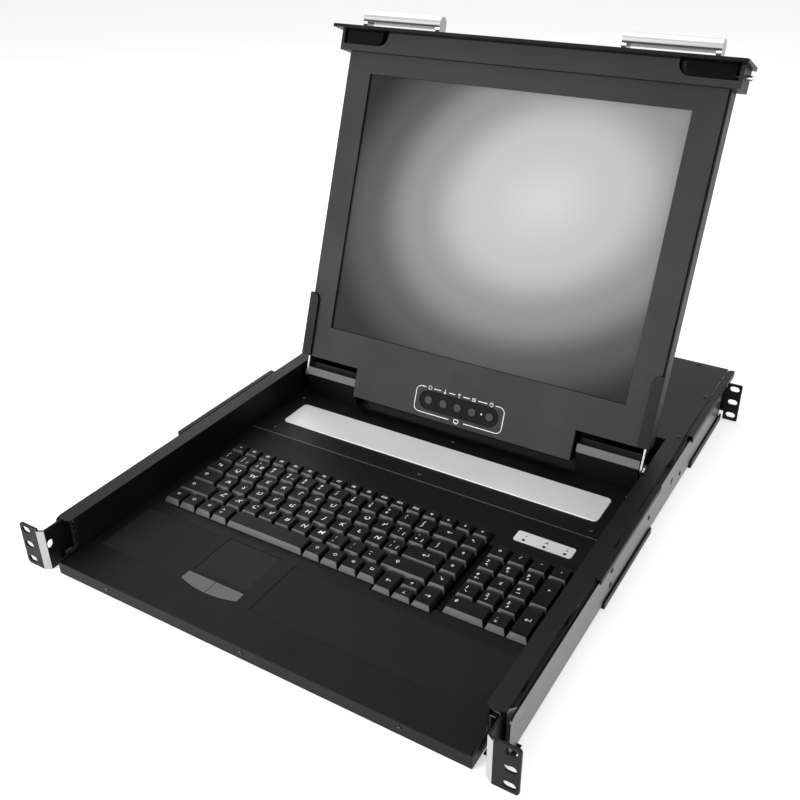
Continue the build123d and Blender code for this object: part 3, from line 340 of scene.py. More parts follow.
rail_zinc = drawn_metal("rail_zinc", (0.16, 0.16, 0.163), 0.36, (1, 0.05, 1), 500, 0.12, 0.45)
slide_zinc = drawn_metal("slide_zinc", (0.16, 0.16, 0.165), 0.4, (1, 0.04, 1), 600, 0.1, 0.2)
strip_brushed = drawn_metal(
    "strip_brushed", (0.84, 0.84, 0.85), 0.42, (0.02, 1, 1), 1500, 0.25, 0.06, metallic=0.25,
)
handle_satin = drawn_metal("handle_satin", (0.74, 0.74, 0.75), 0.3, (0.03, 1, 1), 900, 0.06, 0.04)
hinge_dark = drawn_metal("hinge_dark", (0.08, 0.08, 0.085), 0.35, (1, 1, 1), 500, 0.1)
hinge_bright = drawn_metal("hinge_bright", (0.2, 0.2, 0.2), 0.3, (1, 1, 1), 500, 0.1)
screw_black = drawn_metal("screw_black", (0.05, 0.05, 0.052), 0.32, (1, 1, 1), 900, 0.1, edge=0)
screw_steel = drawn_metal("screw_steel", (0.5, 0.5, 0.5), 0.3, (1, 1, 1), 900, 0.1, edge=0)
print("metals:", [m.name for m in (rail_zinc, slide_zinc, strip_brushed, handle_satin, hinge_dark)])

# %% [markdown]
# ## Where the lid lies
# The lid stands open at about seventy degrees. Its own measures are easier to think
# in: across the screen, up the screen and out of it. They are turned into a point of
# the frame by one small function, and into a matrix for whole pieces.

# %% The lid's own measures
open_angle = math.radians(69.79)
pivot = Vector((0, 0.0738, 0.0324))
lid_up = Vector((0, math.cos(open_angle), math.sin(open_angle)))
lid_out = Vector((0, -math.sin(open_angle), math.cos(open_angle)))
lid_origin = pivot + lid_up * 0.0582 + lid_out * 0.012
across = Vector((1, 0, 0))
lid_frame = Matrix((across, lid_up, lid_out)).transposed().to_4x4()
lid_frame.translation = lid_origin
print("lower edge of the screen, mm:", [round(v * 1000, 2) for v in lid_origin])


def on_lid(x, s, n):
    """A point from lid measures in millimetres: across, up the screen and out of it."""
    return lid_origin + (across * x + lid_up * s + lid_out * n) / 1000


# %% [markdown]
# ## Finishes that know where they are
# Some solids carry two finishes each. The bezel is dark in the recess around its
# buttons and the fascia is dark where the latches slide. Other masks paint light and
# shade into the colour: a painted highlight on the bevel of the hinge housings and on
# the bend of the front ears, painted shade on the tops of the rails, a painted
# highlight on the front slopes of the keys and painted reflections on the handles. A
# mask built from the piece's own coordinates or its own normal tells the shader which
# is which, so the solids keep their meshes.

# %% Masks


def mask_of(material, kind, direction, start, end, unsigned=False):
    """Rises from 0 to 1 while the place or normal along a direction goes from start to end."""
    tree = material.node_tree
    vector = coordinates(material, kind)
    if unsigned:
        vector = vectors(tree, "ABSOLUTE", vector)
    return remapped(tree, vectors(tree, "DOT_PRODUCT", vector, direction), start, end)


def all_of(material, first, *others):
    """A mask that is 1 where all the given ones are."""
    for other in others:
        first = maths(material.node_tree, "MULTIPLY", first, other)
    return first


def second_colour(material, mask, shade):
    """Lays another base colour over a finish where the mask is 1."""
    skin = material.node_tree.nodes["Principled BSDF"]
    below = skin.inputs["Base Color"].links[0].from_socket
    over = blend(material.node_tree, below, (shade, shade, shade, 1), mask)
    material.node_tree.links.new(over, skin.inputs["Base Color"])


def second_gloss(material, mask, level):
    """Changes the roughness where the mask is 1."""
    tree = material.node_tree
    skin = tree.nodes["Principled BSDF"]
    below = skin.inputs["Roughness"].links[0].from_socket
    over = tree.nodes.new("ShaderNodeMix")
    over.inputs[3].default_value = level
    tree.links.new(below, over.inputs[2])
    tree.links.new(mask, over.inputs[0])
    tree.links.new(over.outputs[0], skin.inputs["Roughness"])


up_axis, front_axis = Vector((0, 0, 1)), Vector((0, -1, 0))
recess_start, recess_full = 0.0002, 0.0006
bezel_black = coated("bezel_black", 0.013, 0.52, grain=1600, bump=0.2, specular=0.25, edge=0.0005)
face_level = lid_out.dot(lid_origin)
recess = mask_of(bezel_black, "Object", lid_out, face_level - recess_start, face_level - recess_full)
second_colour(bezel_black, recess, 0.001)
second_gloss(bezel_black, recess, 0.8)

fascia_black = coated("fascia_black", 0.013, 0.52, grain=1600, bump=0.2, specular=0.25, edge=0.0005)
box_face = face_level + 0.006
pocket_foot, pocket_full = (lid_up.dot(on_lid(0, s, 0)) for s in (296.9, 297.4))
pocket_side, box_side = (0.1502, 0.1504), (0.2030, 0.2034)
outboard = mask_of(fascia_black, "Object", across, *pocket_side, unsigned=True)
sunk = mask_of(fascia_black, "Object", lid_out, box_face - recess_start, box_face - recess_full)
above = mask_of(fascia_black, "Object", lid_up, pocket_foot, pocket_full)
beyond = mask_of(fascia_black, "Object", across, *box_side, unsigned=True)
second_colour(fascia_black, all_of(fascia_black, outboard, sunk, above), 0.001)
second_colour(fascia_black, all_of(fascia_black, beyond, above), 0.001)

housing_black = coated("housing_black", 0.003, 0.42, grain=1800, bump=0.35, specular=0.15, edge=0.0004)
# Painted highlight: the faces of the housings that look to the front and a little upward are painted pale.
tilted = mask_of(housing_black, "Normal", up_axis, 0.08, 0.16)
front_facing = mask_of(housing_black, "Normal", front_axis, 0.5, 0.7)
second_colour(housing_black, all_of(housing_black, tilted, front_facing), 0.16)

# Painted shade: the faces of the rails that look upward are painted nearly black.
second_colour(rail_zinc, mask_of(rail_zinc, "Normal", up_axis, 0.5, 0.7), 0.01)
# Painted highlight: the front-facing slopes of the keycaps are painted lighter than their tops.
second_colour(key_black, mask_of(key_black, "Normal", front_axis, 0.55, 0.85), 0.12)

palm_start, palm_full = 0.01185, 0.0117
palm_floor = mask_of(deck_black, "Object", up_axis, palm_start, palm_full)
second_colour(deck_black, palm_floor, 0.009)
second_gloss(deck_black, palm_floor, 0.62)

# The bent corner of each front ear is given a pale colour, as if it caught the light.
ear_black = coated("ear_black", 0.003, 0.46, grain=1800, bump=0.3, specular=0.18, edge=0.0004)
aslant = mask_of(ear_black, "Normal", across, 0.3, 0.4, unsigned=True)
outward = mask_of(ear_black, "Normal", front_axis, 0.6, 0.7)
second_colour(ear_black, all_of(ear_black, aslant, outward), 0.5)

# Painted reflections on the handle bars: pale to grey, a dark line, then pale again.
handle_levels = [lid_up.dot(vertex.co) for vertex in nodes["handle_left"].data.vertices]
handle_foot, handle_top = min(handle_levels), max(handle_levels)
handle_reflection_bands = ((0.85, 0.55, 0.4), (0.5, 0.46, 0.04), (0.37, 0.31, 0.8))
for upper, lower, shade in handle_reflection_bands:
    start, end = (handle_foot + (handle_top - handle_foot) * share for share in (upper, lower))
    second_colour(handle_satin, mask_of(handle_satin, "Object", lid_up, start, end), shade)
print("handle levels, mm:", round(handle_foot * 1000, 1), round(handle_top * 1000, 1))
# Painted shade: the end faces of the handles are painted grey.
second_colour(handle_satin, mask_of(handle_satin, "Normal", across, 0.8, 0.9), 0.38)
print("finishes with a mask:", bezel_black.name, fascia_black.name, housing_black.name, rail_zinc.name)

# %% [markdown]
# ## The screen
# The panel behind the window is dark glass-like plastic with an anti-glare skin. It
# shows a wide soft reflection of a light, brightest above the middle and to the
# right, that falls off to black at the left edge and at the foot. This reflection is
# painted into the base colour as one smooth oval fall on the panel's own coordinates,
# so that it stays with the screen when the lid is folded.

# %% Screen finish


def screen_finish():
    """Dark anti-glare plastic with a painted reflection: a soft wide bright oval."""
    material, tree, skin, place = new_finish("painted_screen_reflection", 0.0)
    skin.inputs["Roughness"].default_value = 0.45
    skin.inputs["Specular IOR Level"].default_value = 0.1
    turned = tree.nodes.new("ShaderNodeVectorRotate")
    turned.rotation_type = "AXIS_ANGLE"
    turned.inputs["Axis"].default_value = lid_out
    turned.inputs["Angle"].default_value = math.radians(-24)
    centre = on_lid(50, 172, 0)
    tree.links.new(vectors(tree, "SUBTRACT", place, centre), turned.inputs["Vector"])
    along, up = 3.9, 5.6
    scale = (along, up * math.cos(open_angle), up * math.sin(open_angle))
    away = vectors(tree, "LENGTH", vectors(tree, "MULTIPLY", turned.outputs[0], scale))
    ramp = tree.nodes.new("ShaderNodeValToRGB")
    stops = [(0.0, 0.56), (0.3, 0.47), (0.55, 0.25), (0.78, 0.075), (1.0, 0.012)]
    ramp.color_ramp.interpolation = "EASE"
    ramp.color_ramp.elements[0].position = stops[0][0]
    ramp.color_ramp.elements[0].color = (stops[0][1],) * 3 + (1,)
    ramp.color_ramp.elements[1].position = stops[-1][0]
    ramp.color_ramp.elements[1].color = (stops[-1][1],) * 3 + (1,)
    for position, value in stops[1:-1]:
        stop = ramp.color_ramp.elements.new(position)
        stop.color = (value, value, value, 1)
    tree.links.new(away, ramp.inputs[0])
    grain = noise(tree, place, 2500, 2.0, 0.5)
    grain_share = 0.12
    speckled = blend(tree, ramp.outputs[0], grain.outputs["Color"], grain_share, "MULTIPLY")
    tree.links.new(speckled, skin.inputs["Base Color"])
    grained(tree, grain.outputs["Fac"], bump=0.05, distance=0.0001, edge=0)
    return material


painted_screen_reflection = screen_finish()
print("screen finish:", painted_screen_reflection.name)

# %% [markdown]
# ## Dressing the solids
# The sheet-metal solids already have the right shape. Each one keeps its mesh and
# gets a finish in its material slots.

# %% Finishes for the solids


def both_sides(*stems):
    """The names of nodes that come in a left and a right one."""
    return [stem + "_" + word for stem in stems for word in ("left", "right")]


finishes = {
    ear_black: both_sides("front_ear"),
    powder_black: both_sides("rail_clip", "rear_bracket")
    + ["chassis_tray", "rear_cover", "cable_cover", "lcd_shell"],
    front_black: ["fascia_plate", "arm_caps"],
    bezel_black: ["lcd_bezel"],
    fascia_black: ["fascia_box"],
    deck_black: ["keyboard_deck"],
    housing_black: both_sides("hinge_housing"),
    gloss_black: both_sides("latch") + ["rear_ports", "keyboard_plate"],
    rail_zinc: both_sides("rail"),
    slide_zinc: both_sides("slide_outer", "slide_middle", "slide_inner") + ["slide_spacers", "power_unit"],
    hinge_bright: both_sides("hinge_arm") + ["ball_cages_inner", "ball_cages_outer"],
    hinge_dark: ["hinge_barrels"],
    strip_brushed: ["cover_strip"],
    handle_satin: both_sides("handle"),
    painted_screen_reflection: ["lcd_panel"],
    button_grey: both_sides("touch_button"),
    osd_black: [f"osd_button_{i}" for i in range(1, 6)],
    touchpad_black: ["touchpad"],
    board_green: ["osd_board"],
    label_grey: ["status_label"],
}


def dress(name, material):
    """Gives every slot of a solid the same finish."""
    solid = nodes[name]
    if not solid.material_slots:
        solid.data.materials.append(material)
    for place in solid.material_slots:
        place.material = material


for material, names in finishes.items():
    for name in names:
        dress(name, material)
print("dressed solids:", sum(len(names) for names in finishes.values()), "of", len(nodes))

# %% [markdown]
# ## Making and repeating small pieces
# Everything small is made once and set down many times. A Geometry Nodes tree does
# the setting down: it puts a template on every point of a cloud, turned by an
# attribute of the point, and gives the copies their finish. The result is taken out
# as a plain mesh, so that nothing depends on the tree afterwards.

# %% The tree that sets a template on points


def make_copy_tree():
    """Points and a template in, realised copies with a finish out."""
    tree = bpy.data.node_groups.new("template_on_points", "GeometryNodeTree")
    face = tree.interface
    face.new_socket("Points", in_out="INPUT", socket_type="NodeSocketGeometry")
    face.new_socket("Template", in_out="INPUT", socket_type="NodeSocketObject")
    face.new_socket("Finish", in_out="INPUT", socket_type="NodeSocketMaterial")
    face.new_socket("Copies", in_out="OUTPUT", socket_type="NodeSocketGeometry")
    entry = tree.nodes.new("NodeGroupInput")
    leave = tree.nodes.new("NodeGroupOutput")
    info = tree.nodes.new("GeometryNodeObjectInfo")
    turn = tree.nodes.new("GeometryNodeInputNamedAttribute")
    turn.data_type = "FLOAT_VECTOR"
    turn.inputs["Name"].default_value = "turn"
    place = tree.nodes.new("GeometryNodeInstanceOnPoints")
    real = tree.nodes.new("GeometryNodeRealizeInstances")
    finish = tree.nodes.new("GeometryNodeSetMaterial")
    tree.links.new(entry.outputs["Points"], place.inputs["Points"])
    tree.links.new(entry.outputs["Template"], info.inputs["Object"])
    tree.links.new(info.outputs["Geometry"], place.inputs["Instance"])
    tree.links.new(turn.outputs["Attribute"], place.inputs["Rotation"])
    tree.links.new(place.outputs["Instances"], real.inputs["Geometry"])
    tree.links.new(real.outputs["Geometry"], finish.inputs["Geometry"])
    tree.links.new(entry.outputs["Finish"], finish.inputs["Material"])
    tree.links.new(finish.outputs["Geometry"], leave.inputs["Copies"])
    return tree


copy_tree = make_copy_tree()
copy_inputs = {
    item.name: item.identifier
    for item in copy_tree.interface.items_tree
    if item.item_type == "SOCKET" and item.in_out == "INPUT"
}
print("inputs of the tree:", copy_inputs)

# %% Helpers for meshes and pieces
MM = 0.001
small_pieces = []


def link(name, mesh):
    """A new object with the mesh, in the scene."""
    thing = bpy.data.objects.new(name, mesh)
    bpy.context.scene.collection.objects.link(thing)
    return thing


def mesh_from(bm, name):
    """A finished mesh from a bmesh, with outward normals."""
    bmesh.ops.recalc_face_normals(bm, faces=bm.faces)
    mesh = bpy.data.meshes.new(name)
    bm.to_mesh(mesh)
    bm.free()
    return mesh


def copies(template, places, finish):
    """The template on each place, as one mesh. A place is a point and a turn in radians."""
    cloud = bpy.data.meshes.new("cloud")
    cloud.from_pydata([tuple(point) for point, _ in places], [], [])
    turn = cloud.attributes.new("turn", "FLOAT_VECTOR", "POINT")
    turn.data.foreach_set("vector", [value for _, angles in places for value in angles])
    holder = link("cloud", cloud)
    pattern = link("pattern", template)
    setting = holder.modifiers.new("set_down", "NODES")
    setting.node_group = copy_tree
    setting[copy_inputs["Template"]] = pattern
    setting[copy_inputs["Finish"]] = finish
    bpy.context.view_layer.update()
    graph = bpy.context.evaluated_depsgraph_get()
    mesh = bpy.data.meshes.new_from_object(holder.evaluated_get(graph))
    bpy.data.objects.remove(holder)
    bpy.data.objects.remove(pattern)
    return mesh


def joined(meshes):
    """Several meshes as one bmesh."""
    bm = bmesh.new()
    for mesh in meshes:
        bm.from_mesh(mesh)
    return bm


def piece(name, mesh, finish, body, smooth=True, stands_for=None):
    """Makes a riding piece out of a mesh that already lies in its place."""
    mesh.materials.clear()
    mesh.materials.append(finish)
    for polygon in mesh.polygons:
        polygon.material_index = 0
    if smooth:
        mesh.shade_smooth()
        mesh.set_sharp_from_angle(angle=math.radians(38))
    thing = link(name, mesh)
    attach(thing, body)
    if stands_for:
        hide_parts(stands_for)
    small_pieces.append(name)
    return thing


print("helpers: link, mesh_from, copies, joined, piece")

# %% [markdown]
# ## Keycaps
# A keycap is a stack of rounded outlines. It starts as an upright rim, leans back to
# a smaller top, turns over a soft edge and dips into a shallow trough that runs from
# the front to the back. The places and sizes are read off the solids, key by key, so
# each cap stands exactly where its solid stands.

# %% Keycap template
cap_skirt = 11.2
cap_levels = [
    (0.0, 0.0, 0.0, 0.7, None),
    (0.0, 0.0, 0.0, 0.7, 0.0),
    (1.82, 2.6, 0.78, 1.1, -0.34),
    (1.96, 2.75, 0.88, 1.2, -0.1),
    (2.12, 2.92, 1.02, 1.2, -0.02),
    (2.5, 3.3, 1.4, 1.2, "trough"),
]
cap_dish = 0.45
trough_inset = cap_levels[4][0]
trough_front, trough_back = cap_levels[5][1:3]


def outline(low_x, high_x, low_y, high_y, radius, steps=3):
    """Points round a rectangle with rounded corners."""
    corners = [
        (high_x - radius, high_y - radius, 0),
        (low_x + radius, high_y - radius, 90),
        (low_x + radius, low_y + radius, 180),
        (high_x - radius, low_y + radius, 270),
    ]
    points = []
    for x, y, start in corners:
        for step in range(steps + 1):
            angle = math.radians(start + 90 * step / steps)
            points.append((x + radius * math.cos(angle), y + radius * math.sin(angle)))
    return points


def trough(x, half_width, top, dish):
    """Height of the dished top at a distance from the cap's middle."""
    half = half_width - trough_inset
    return top - dish * max(0.0, 1 - (x / half) ** 2)


def stitch(bm, lower, upper):
    """Quads between two rings of equal length."""
    count = len(lower)
    for i in range(count):
        j = (i + 1) % count
        bm.faces.new((lower[i], lower[j], upper[j], upper[i]))


def close(bm, rings):
    """Quads from ring to ring, and a face on each end."""
    for lower, upper in zip(rings, rings[1:]):
        stitch(bm, lower, upper)
    bm.faces.new(rings[-1])
    bm.faces.new(list(reversed(rings[0])))


def circle(bm, radius, z, sides):
    """A ring of vertices about the Z axis."""
    turns = [2 * math.pi * i / sides for i in range(sides)]
    return [bm.verts.new((radius * math.cos(a), radius * math.sin(a), z)) for a in turns]


def cap_mesh(width, depth, top, dish):
    """One keycap about the middle of its footprint, in metres, with real heights."""
    bm = bmesh.new()
    rings = []
    for side, front_in, back_in, radius, level in cap_levels:
        ring = []
        low_y, high_y = -depth / 2 + front_in, depth / 2 - back_in
        for x, y in outline(-width / 2 + side, width / 2 - side, low_y, high_y, radius):
            if level is None:
                z = cap_skirt
            elif level == 0.0:
                z = cap_skirt + 0.7
            elif level == "trough":
                z = trough(x, width / 2, top, dish)
            else:
                z = top + level
            ring.append((x, y, z))
        rings.append(ring)
    middle = (trough_front - trough_back) / 2
    for share in (0.66, 0.3):
        ring = []
        for x, y, _ in rings[5]:
            x_in, y_in = x * share, middle + (y - middle) * share
            ring.append((x_in, y_in, trough(x_in, width / 2, top, dish)))
        rings.append(ring)
    made = [[bm.verts.new((x * MM, y * MM, z * MM)) for x, y, z in ring] for ring in rings]
    close(bm, made)
    return mesh_from(bm, "keycap")


print("levels of a keycap:", len(cap_levels) + 2)

# %% Places of the caps


def footprints(name):
    """Boxes of the separate solids in a node, in millimetres, rows from the rear, left to right."""
    mesh = nodes[name].data
    welded = {}
    owner = []
    for vertex in mesh.vertices:
        key = tuple(round(c * 1e5) for c in vertex.co)
        owner.append(welded.setdefault(key, len(welded)))
    parent = list(range(len(welded)))

    def root(i):
        while parent[i] != i:
            parent[i] = parent[parent[i]]
            i = parent[i]
        return i

    for edge in mesh.edges:
        a, b = (root(owner[i]) for i in edge.vertices)
        parent[a] = b
    boxes = {}
    for vertex, index in zip(mesh.vertices, owner):
        box = boxes.setdefault(root(index), [[1e9] * 3, [-1e9] * 3])
        for axis in range(3):
            box[0][axis] = min(box[0][axis], vertex.co[axis] * 1000)
            box[1][axis] = max(box[1][axis], vertex.co[axis] * 1000)
    caps = []
    for low, high in boxes.values():
        caps.append({
            "x": (low[0] + high[0]) / 2,
            "y": (low[1] + high[1]) / 2,
            "width": round(high[0] - low[0], 2),
            "depth": round(high[1] - low[1], 2),
            "top": round(high[2], 2),
        })
    caps.sort(key=lambda cap: (-round((cap["y"] + cap["depth"] / 2) / 6), cap["x"]))
    return caps


key_nodes = [
    "keys_function", "keys_number", "keys_upper", "keys_home", "keys_lower",
    "keys_bottom", "key_space", "keys_arrow", "keys_pad",
]
caps_of = {name: footprints(name) for name in key_nodes}
print("caps:", {name: len(caps) for name, caps in caps_of.items()})

# %% Caps on their places
for name, caps in caps_of.items():
    sizes = {}
    for cap in caps:
        cap["dish"] = 0.0 if name == "key_space" else cap_dish if cap["width"] < 30 else 0.3
        sizes.setdefault((cap["width"], cap["depth"], cap["top"], cap["dish"]), []).append(cap)
    meshes = []
    for size, same in sizes.items():
        spots = [((cap["x"] * MM, cap["y"] * MM, 0), (0, 0, 0)) for cap in same]
        meshes.append(copies(cap_mesh(*size), spots, key_black))
    piece("caps_" + name, mesh_from(joined(meshes), name), key_black, name, stands_for=name)
print("key pieces:", len(caps_of))

# %% [markdown]
# ## Markings
# The markings are generic: letters, digits, signs and arrows. Each is a thin raised
# print. Letters come from a text curve, and signs are strokes with square ends. Both
# are made flat, turned into meshes, and then bent onto the trough of their cap.

# %% Strokes and letters
print_height = 0.012
print_lift = 0.035


def stroke(bm, points, width):
    """A run of thin bars through the points, in millimetres."""
    for (ax, ay), (bx, by) in zip(points, points[1:]):
        run = math.hypot(bx - ax, by - ay)
        ux, uy = (bx - ax) / run, (by - ay) / run
        half = width / 2
        corners = []
        for along, aside in ((-half, -half), (run + half, -half), (run + half, half), (-half, half)):
            corners.append((ax + ux * along - uy * aside, ay + uy * along + ux * aside))
        low = [bm.verts.new((x, y, 0)) for x, y in corners]
        high = [bm.verts.new((x, y, print_height)) for x, y in corners]
        close(bm, [low, high])


def arc(x, y, radius, start, end, count):
    """Points on a circle between two angles in degrees."""
    angles = [math.radians(start + (end - start) * i / count) for i in range(count + 1)]
    return [(x + radius * math.cos(a), y + radius * math.sin(a)) for a in angles]


signs = {
    "left": [[(-1, 0), (1, 0)], [(-0.35, 0.55), (-1, 0), (-0.35, -0.55)]],
    "right": [[(1, 0), (-1, 0)], [(0.35, 0.55), (1, 0), (0.35, -0.55)]],
    "up": [[(0, -1), (0, 1)], [(-0.55, 0.35), (0, 1), (0.55, 0.35)]],
    "down": [[(0, 1), (0, -1)], [(-0.55, -0.35), (0, -1), (0.55, -0.35)]],
    "enter": [[(1, 0.8), (1, -0.2), (-1, -0.2)], [(-0.4, 0.3), (-1, -0.2), (-0.4, -0.7)]],
    "shift": [[(0, 1), (-0.9, 0.1), (-0.4, 0.1), (-0.4, -0.8), (0.4, -0.8), (0.4, 0.1), (0.9, 0.1), (0, 1)]],
    "caps": [
        [(0, 1), (-0.9, 0.1), (-0.4, 0.1), (-0.4, -0.4), (0.4, -0.4), (0.4, 0.1), (0.9, 0.1), (0, 1)],
        [(-0.4, -0.9), (0.4, -0.9)],
    ],
    "tab": [
        [(-1, 0.45), (0.9, 0.45)], [(-0.5, 0.85), (-1, 0.45), (-0.5, 0.05)], [(-1.1, 0.9), (-1.1, 0)],
        [(-0.9, -0.5), (1, -0.5)], [(0.5, -0.1), (1, -0.5), (0.5, -0.9)], [(1.1, -0.05), (1.1, -0.95)],
    ],
    "menu": [[(-0.8, 0.6), (0.8, 0.6)], [(-0.8, 0), (0.8, 0)], [(-0.8, -0.6), (0.8, -0.6)]],
    "diamond": [[(0, 0.9), (0.9, 0), (0, -0.9), (-0.9, 0), (0, 0.9)]],
    "ring": [arc(0, 0, 0.8, 0, 360, 12)],
    "cross": [[(-0.7, -0.7), (0.7, 0.7)], [(-0.7, 0.7), (0.7, -0.7)]],
    "pause": [[(-0.35, 0.8), (-0.35, -0.8)], [(0.35, 0.8), (0.35, -0.8)]],
    "home": [[(0.8, -0.8), (-0.8, 0.8)], [(-0.8, 0), (-0.8, 0.8), (0, 0.8)]],
    "end": [[(-0.8, 0.8), (0.8, -0.8)], [(0.8, 0), (0.8, -0.8), (0, -0.8)]],
    "page_up": [[(0, -0.9), (0, 0.9)], [(-0.6, 0.3), (0, 0.9), (0.6, 0.3)], [(-0.5, -0.3), (0.5, -0.3)]],
    "page_down": [[(0, 0.9), (0, -0.9)], [(-0.6, -0.3), (0, -0.9), (0.6, -0.3)], [(-0.5, 0.3), (0.5, 0.3)]],
    "frame": [[(-0.9, 0.7), (0.9, 0.7), (0.9, -0.5), (-0.9, -0.5), (-0.9, 0.7)], [(-0.4, -0.9), (0.4, -0.9)]],
    "power": [arc(0, 0, 0.8, 125, 415, 12), [(0, 0.15), (0, 1)]],
    "lock": [[(-0.6, 0.1), (0.6, 0.1), (0.6, -0.8), (-0.6, -0.8), (-0.6, 0.1)], arc(0, 0.1, 0.42, 0, 180, 6)],
}
letter_meshes = {}


def letters(text, size):
    """A thin mesh of a text, centred, in millimetres."""
    if (text, size) not in letter_meshes:
        curve = bpy.data.curves.new("letters", "FONT")
        curve.body = text
        curve.size = size
        curve.shear = 0.18
        curve.align_x = "CENTER"
        curve.align_y = "CENTER"
        curve.resolution_u = 2
        curve.extrude = print_height / 2
        curve.offset = 0.1
        holder = link("letters", curve)
        bpy.context.view_layer.update()
        graph = bpy.context.evaluated_depsgraph_get()
        letter_meshes[text, size] = bpy.data.meshes.new_from_object(holder.evaluated_get(graph))
        bpy.data.objects.remove(holder)
    return letter_meshes[text, size]


def mark_mesh(what, x, y, size):
    """A sign or a text about a point, as a flat bmesh in millimetres."""
    bm = bmesh.new()
    if what in signs:
        for run in signs[what]:
            stroke(bm, [(x + px * size / 2, y + py * size / 2) for px, py in run], max(0.46, size * 0.12))
    else:
        bm.from_mesh(letters(what, size))
        bmesh.ops.translate(bm, verts=bm.verts, vec=(x, y, print_height / 2))
    return bm


def add_mark(target, what, x, y, size, bend=None):
    """Adds a mark to a bmesh. A bend turns each of its points into its final place."""
    bm = mark_mesh(what, x, y, size)
    if bend:
        for vertex in bm.verts:
            vertex.co = bend(vertex.co)
    flat = bpy.data.meshes.new("mark")
    bm.to_mesh(flat)
    bm.free()
    target.from_mesh(flat)


print("signs:", len(signs))

# %% Which mark goes on which cap
single = 7.2
small = 4.3
tiny = 4.0


def one(what, size=single):
    """A single mark in the rear half of the cap."""
    return [(what, 0, 2.2, size)]


def pair(upper, lower, aside=None):
    """Two marks above each other at the left, and perhaps one at the lower right."""
    marks = [(upper, -3.2, 3.6, small), (lower, -3.2, -1.0, small)]
    if aside:
        marks.append((aside, 3.0, -1.0, small))
    return marks


legends = {
    "keys_function": [[("cross", 0, 1.0, 2.2)]]
    + [[(f"F{i}", 0, 1.0, tiny)] for i in range(1, 13)]
    + [[(sign, 0, 1.0, 2.4)] for sign in ("frame", "lock", "pause", "cross")],
    "keys_number": [pair("/", "\\")]
    + [pair(a, b, c) for a, b, c in zip("!\"#$%&/()=", "1234567890", ("|", "@", None, "~") + (None,) * 6)]
    + [pair("?", "'"), pair("[", "]"), [("left", 0, 2.2, 4.6)], one("home", 3.4)],
    "keys_upper": [[("tab", 0, 2.0, 4.0)]]
    + [one(letter) for letter in "QWERTYUIOP"]
    + [pair("^", "`", "["), pair("*", "+", "]"), pair("{", "}"), one("page_up", 3.6)],
    "keys_home": [[("caps", -4.0, 2.2, 3.8)]]
    + [one(letter) for letter in "ASDFGHJKL"]
    + [one("Ñ"), pair("\"", ";", "{"), [("enter", 2.0, 2.2, 5.0)], one("page_down", 3.6)],
    "keys_lower": [[("shift", -8.0, 2.2, 3.6)]]
    + [one(letter) for letter in "ZXCVBNM"]
    + [pair(";", ","), pair(":", "."), pair("_", "-"), [("shift", -10.0, 2.2, 3.6)], one("end", 3.4)],
    "keys_bottom": [
        one("ring", 3.0), one("diamond", 3.8), one("menu", 3.2), pair(">", "<"),
        one("ring", 3.0), one("diamond", 3.8), one("menu", 3.2), one("frame", 3.2),
    ],
    "key_space": [[]],
    "keys_arrow": [],
    "keys_pad": [],
}
arrow_caps = caps_of["keys_arrow"]
middle_x = sum(cap["x"] for cap in arrow_caps) / len(arrow_caps)
highest = max(cap["y"] for cap in arrow_caps)
for cap in arrow_caps:
    if cap["x"] < middle_x - 8:
        mark = ("left", 0, 1.0, 4.4)
    elif cap["x"] > middle_x + 8:
        mark = ("right", 0, 1.0, 4.4)
    elif cap["y"] > highest - 1:
        mark = ("up", 0, 0.6, 4.0)
    else:
        mark = ("down", 0, 0.6, 4.0)
    legends["keys_arrow"].append([mark])


def digit(number, sign=None):
    """A digit of the number pad, with its second meaning below it."""
    marks = [(number, -3.0 if sign else 0, 3.2 if sign else 2.2, small + 0.6)]
    if sign:
        marks.append((sign, -1.6, -1.6, 3.4))
    return marks


pad_rows = {}
for cap in caps_of["keys_pad"]:
    pad_rows.setdefault(round((cap["y"] + cap["depth"] / 2) / 6), []).append(cap)
pad_marks = [
    [one("lock", 3.2), one("/", 4.2), one("*", 4.8), one("-", 4.8)],
    [digit("7", "home"), digit("8", "up"), digit("9", "page_up"), [("+", 0, 4.5, 4.8)]],
    [digit("4", "left"), digit("5"), digit("6", "right")],
    [digit("1", "end"), digit("2", "down"), digit("3", "page_down"), [("enter", 0, 2.5, 4.6)]],
    [[("0", -12.2, 3.2, small + 0.6)], [(".", -3.0, 3.6, small + 0.6), ("cross", -2.6, -1.8, 2.6)]],
]
for marks in pad_marks:
    legends["keys_pad"] += marks
for name, caps in caps_of.items():
    assert len(legends[name]) == len(caps), (name, len(legends[name]), len(caps))
print("marked caps:", sum(1 for marks in legends.values() for mark in marks if mark))

# %% Marks bent onto the caps


def on_cap(cap, co):
    """A point of a flat mark, laid on the trough of its cap, in metres."""
    lift = trough(co.x, cap["width"] / 2, cap["top"], cap["dish"]) + print_lift + co.z
    return ((cap["x"] + co.x) * MM, (cap["y"] + co.y) * MM, lift * MM)


for name, caps in caps_of.items():
    all_marks = bmesh.new()
    for cap, marks in zip(caps, legends[name]):
        for what, x, y, size in marks:
            add_mark(all_marks, what, x, y, size, lambda co, cap=cap: on_cap(cap, co))
    if all_marks.verts:
        piece("marks_" + name, mesh_from(all_marks, "marks"), print_white, name, smooth=False)
    else:
        all_marks.free()
print("pieces so far:", len(small_pieces))

# %% [markdown]
# ## Screws
# The drawer is held together by small cross-recess screws. One head is modelled with
# a real recess and set down wherever the photograph or the practice of sheet-metal
# work puts a screw. Each set rides on the body that it is screwed into.

# %% A screw head


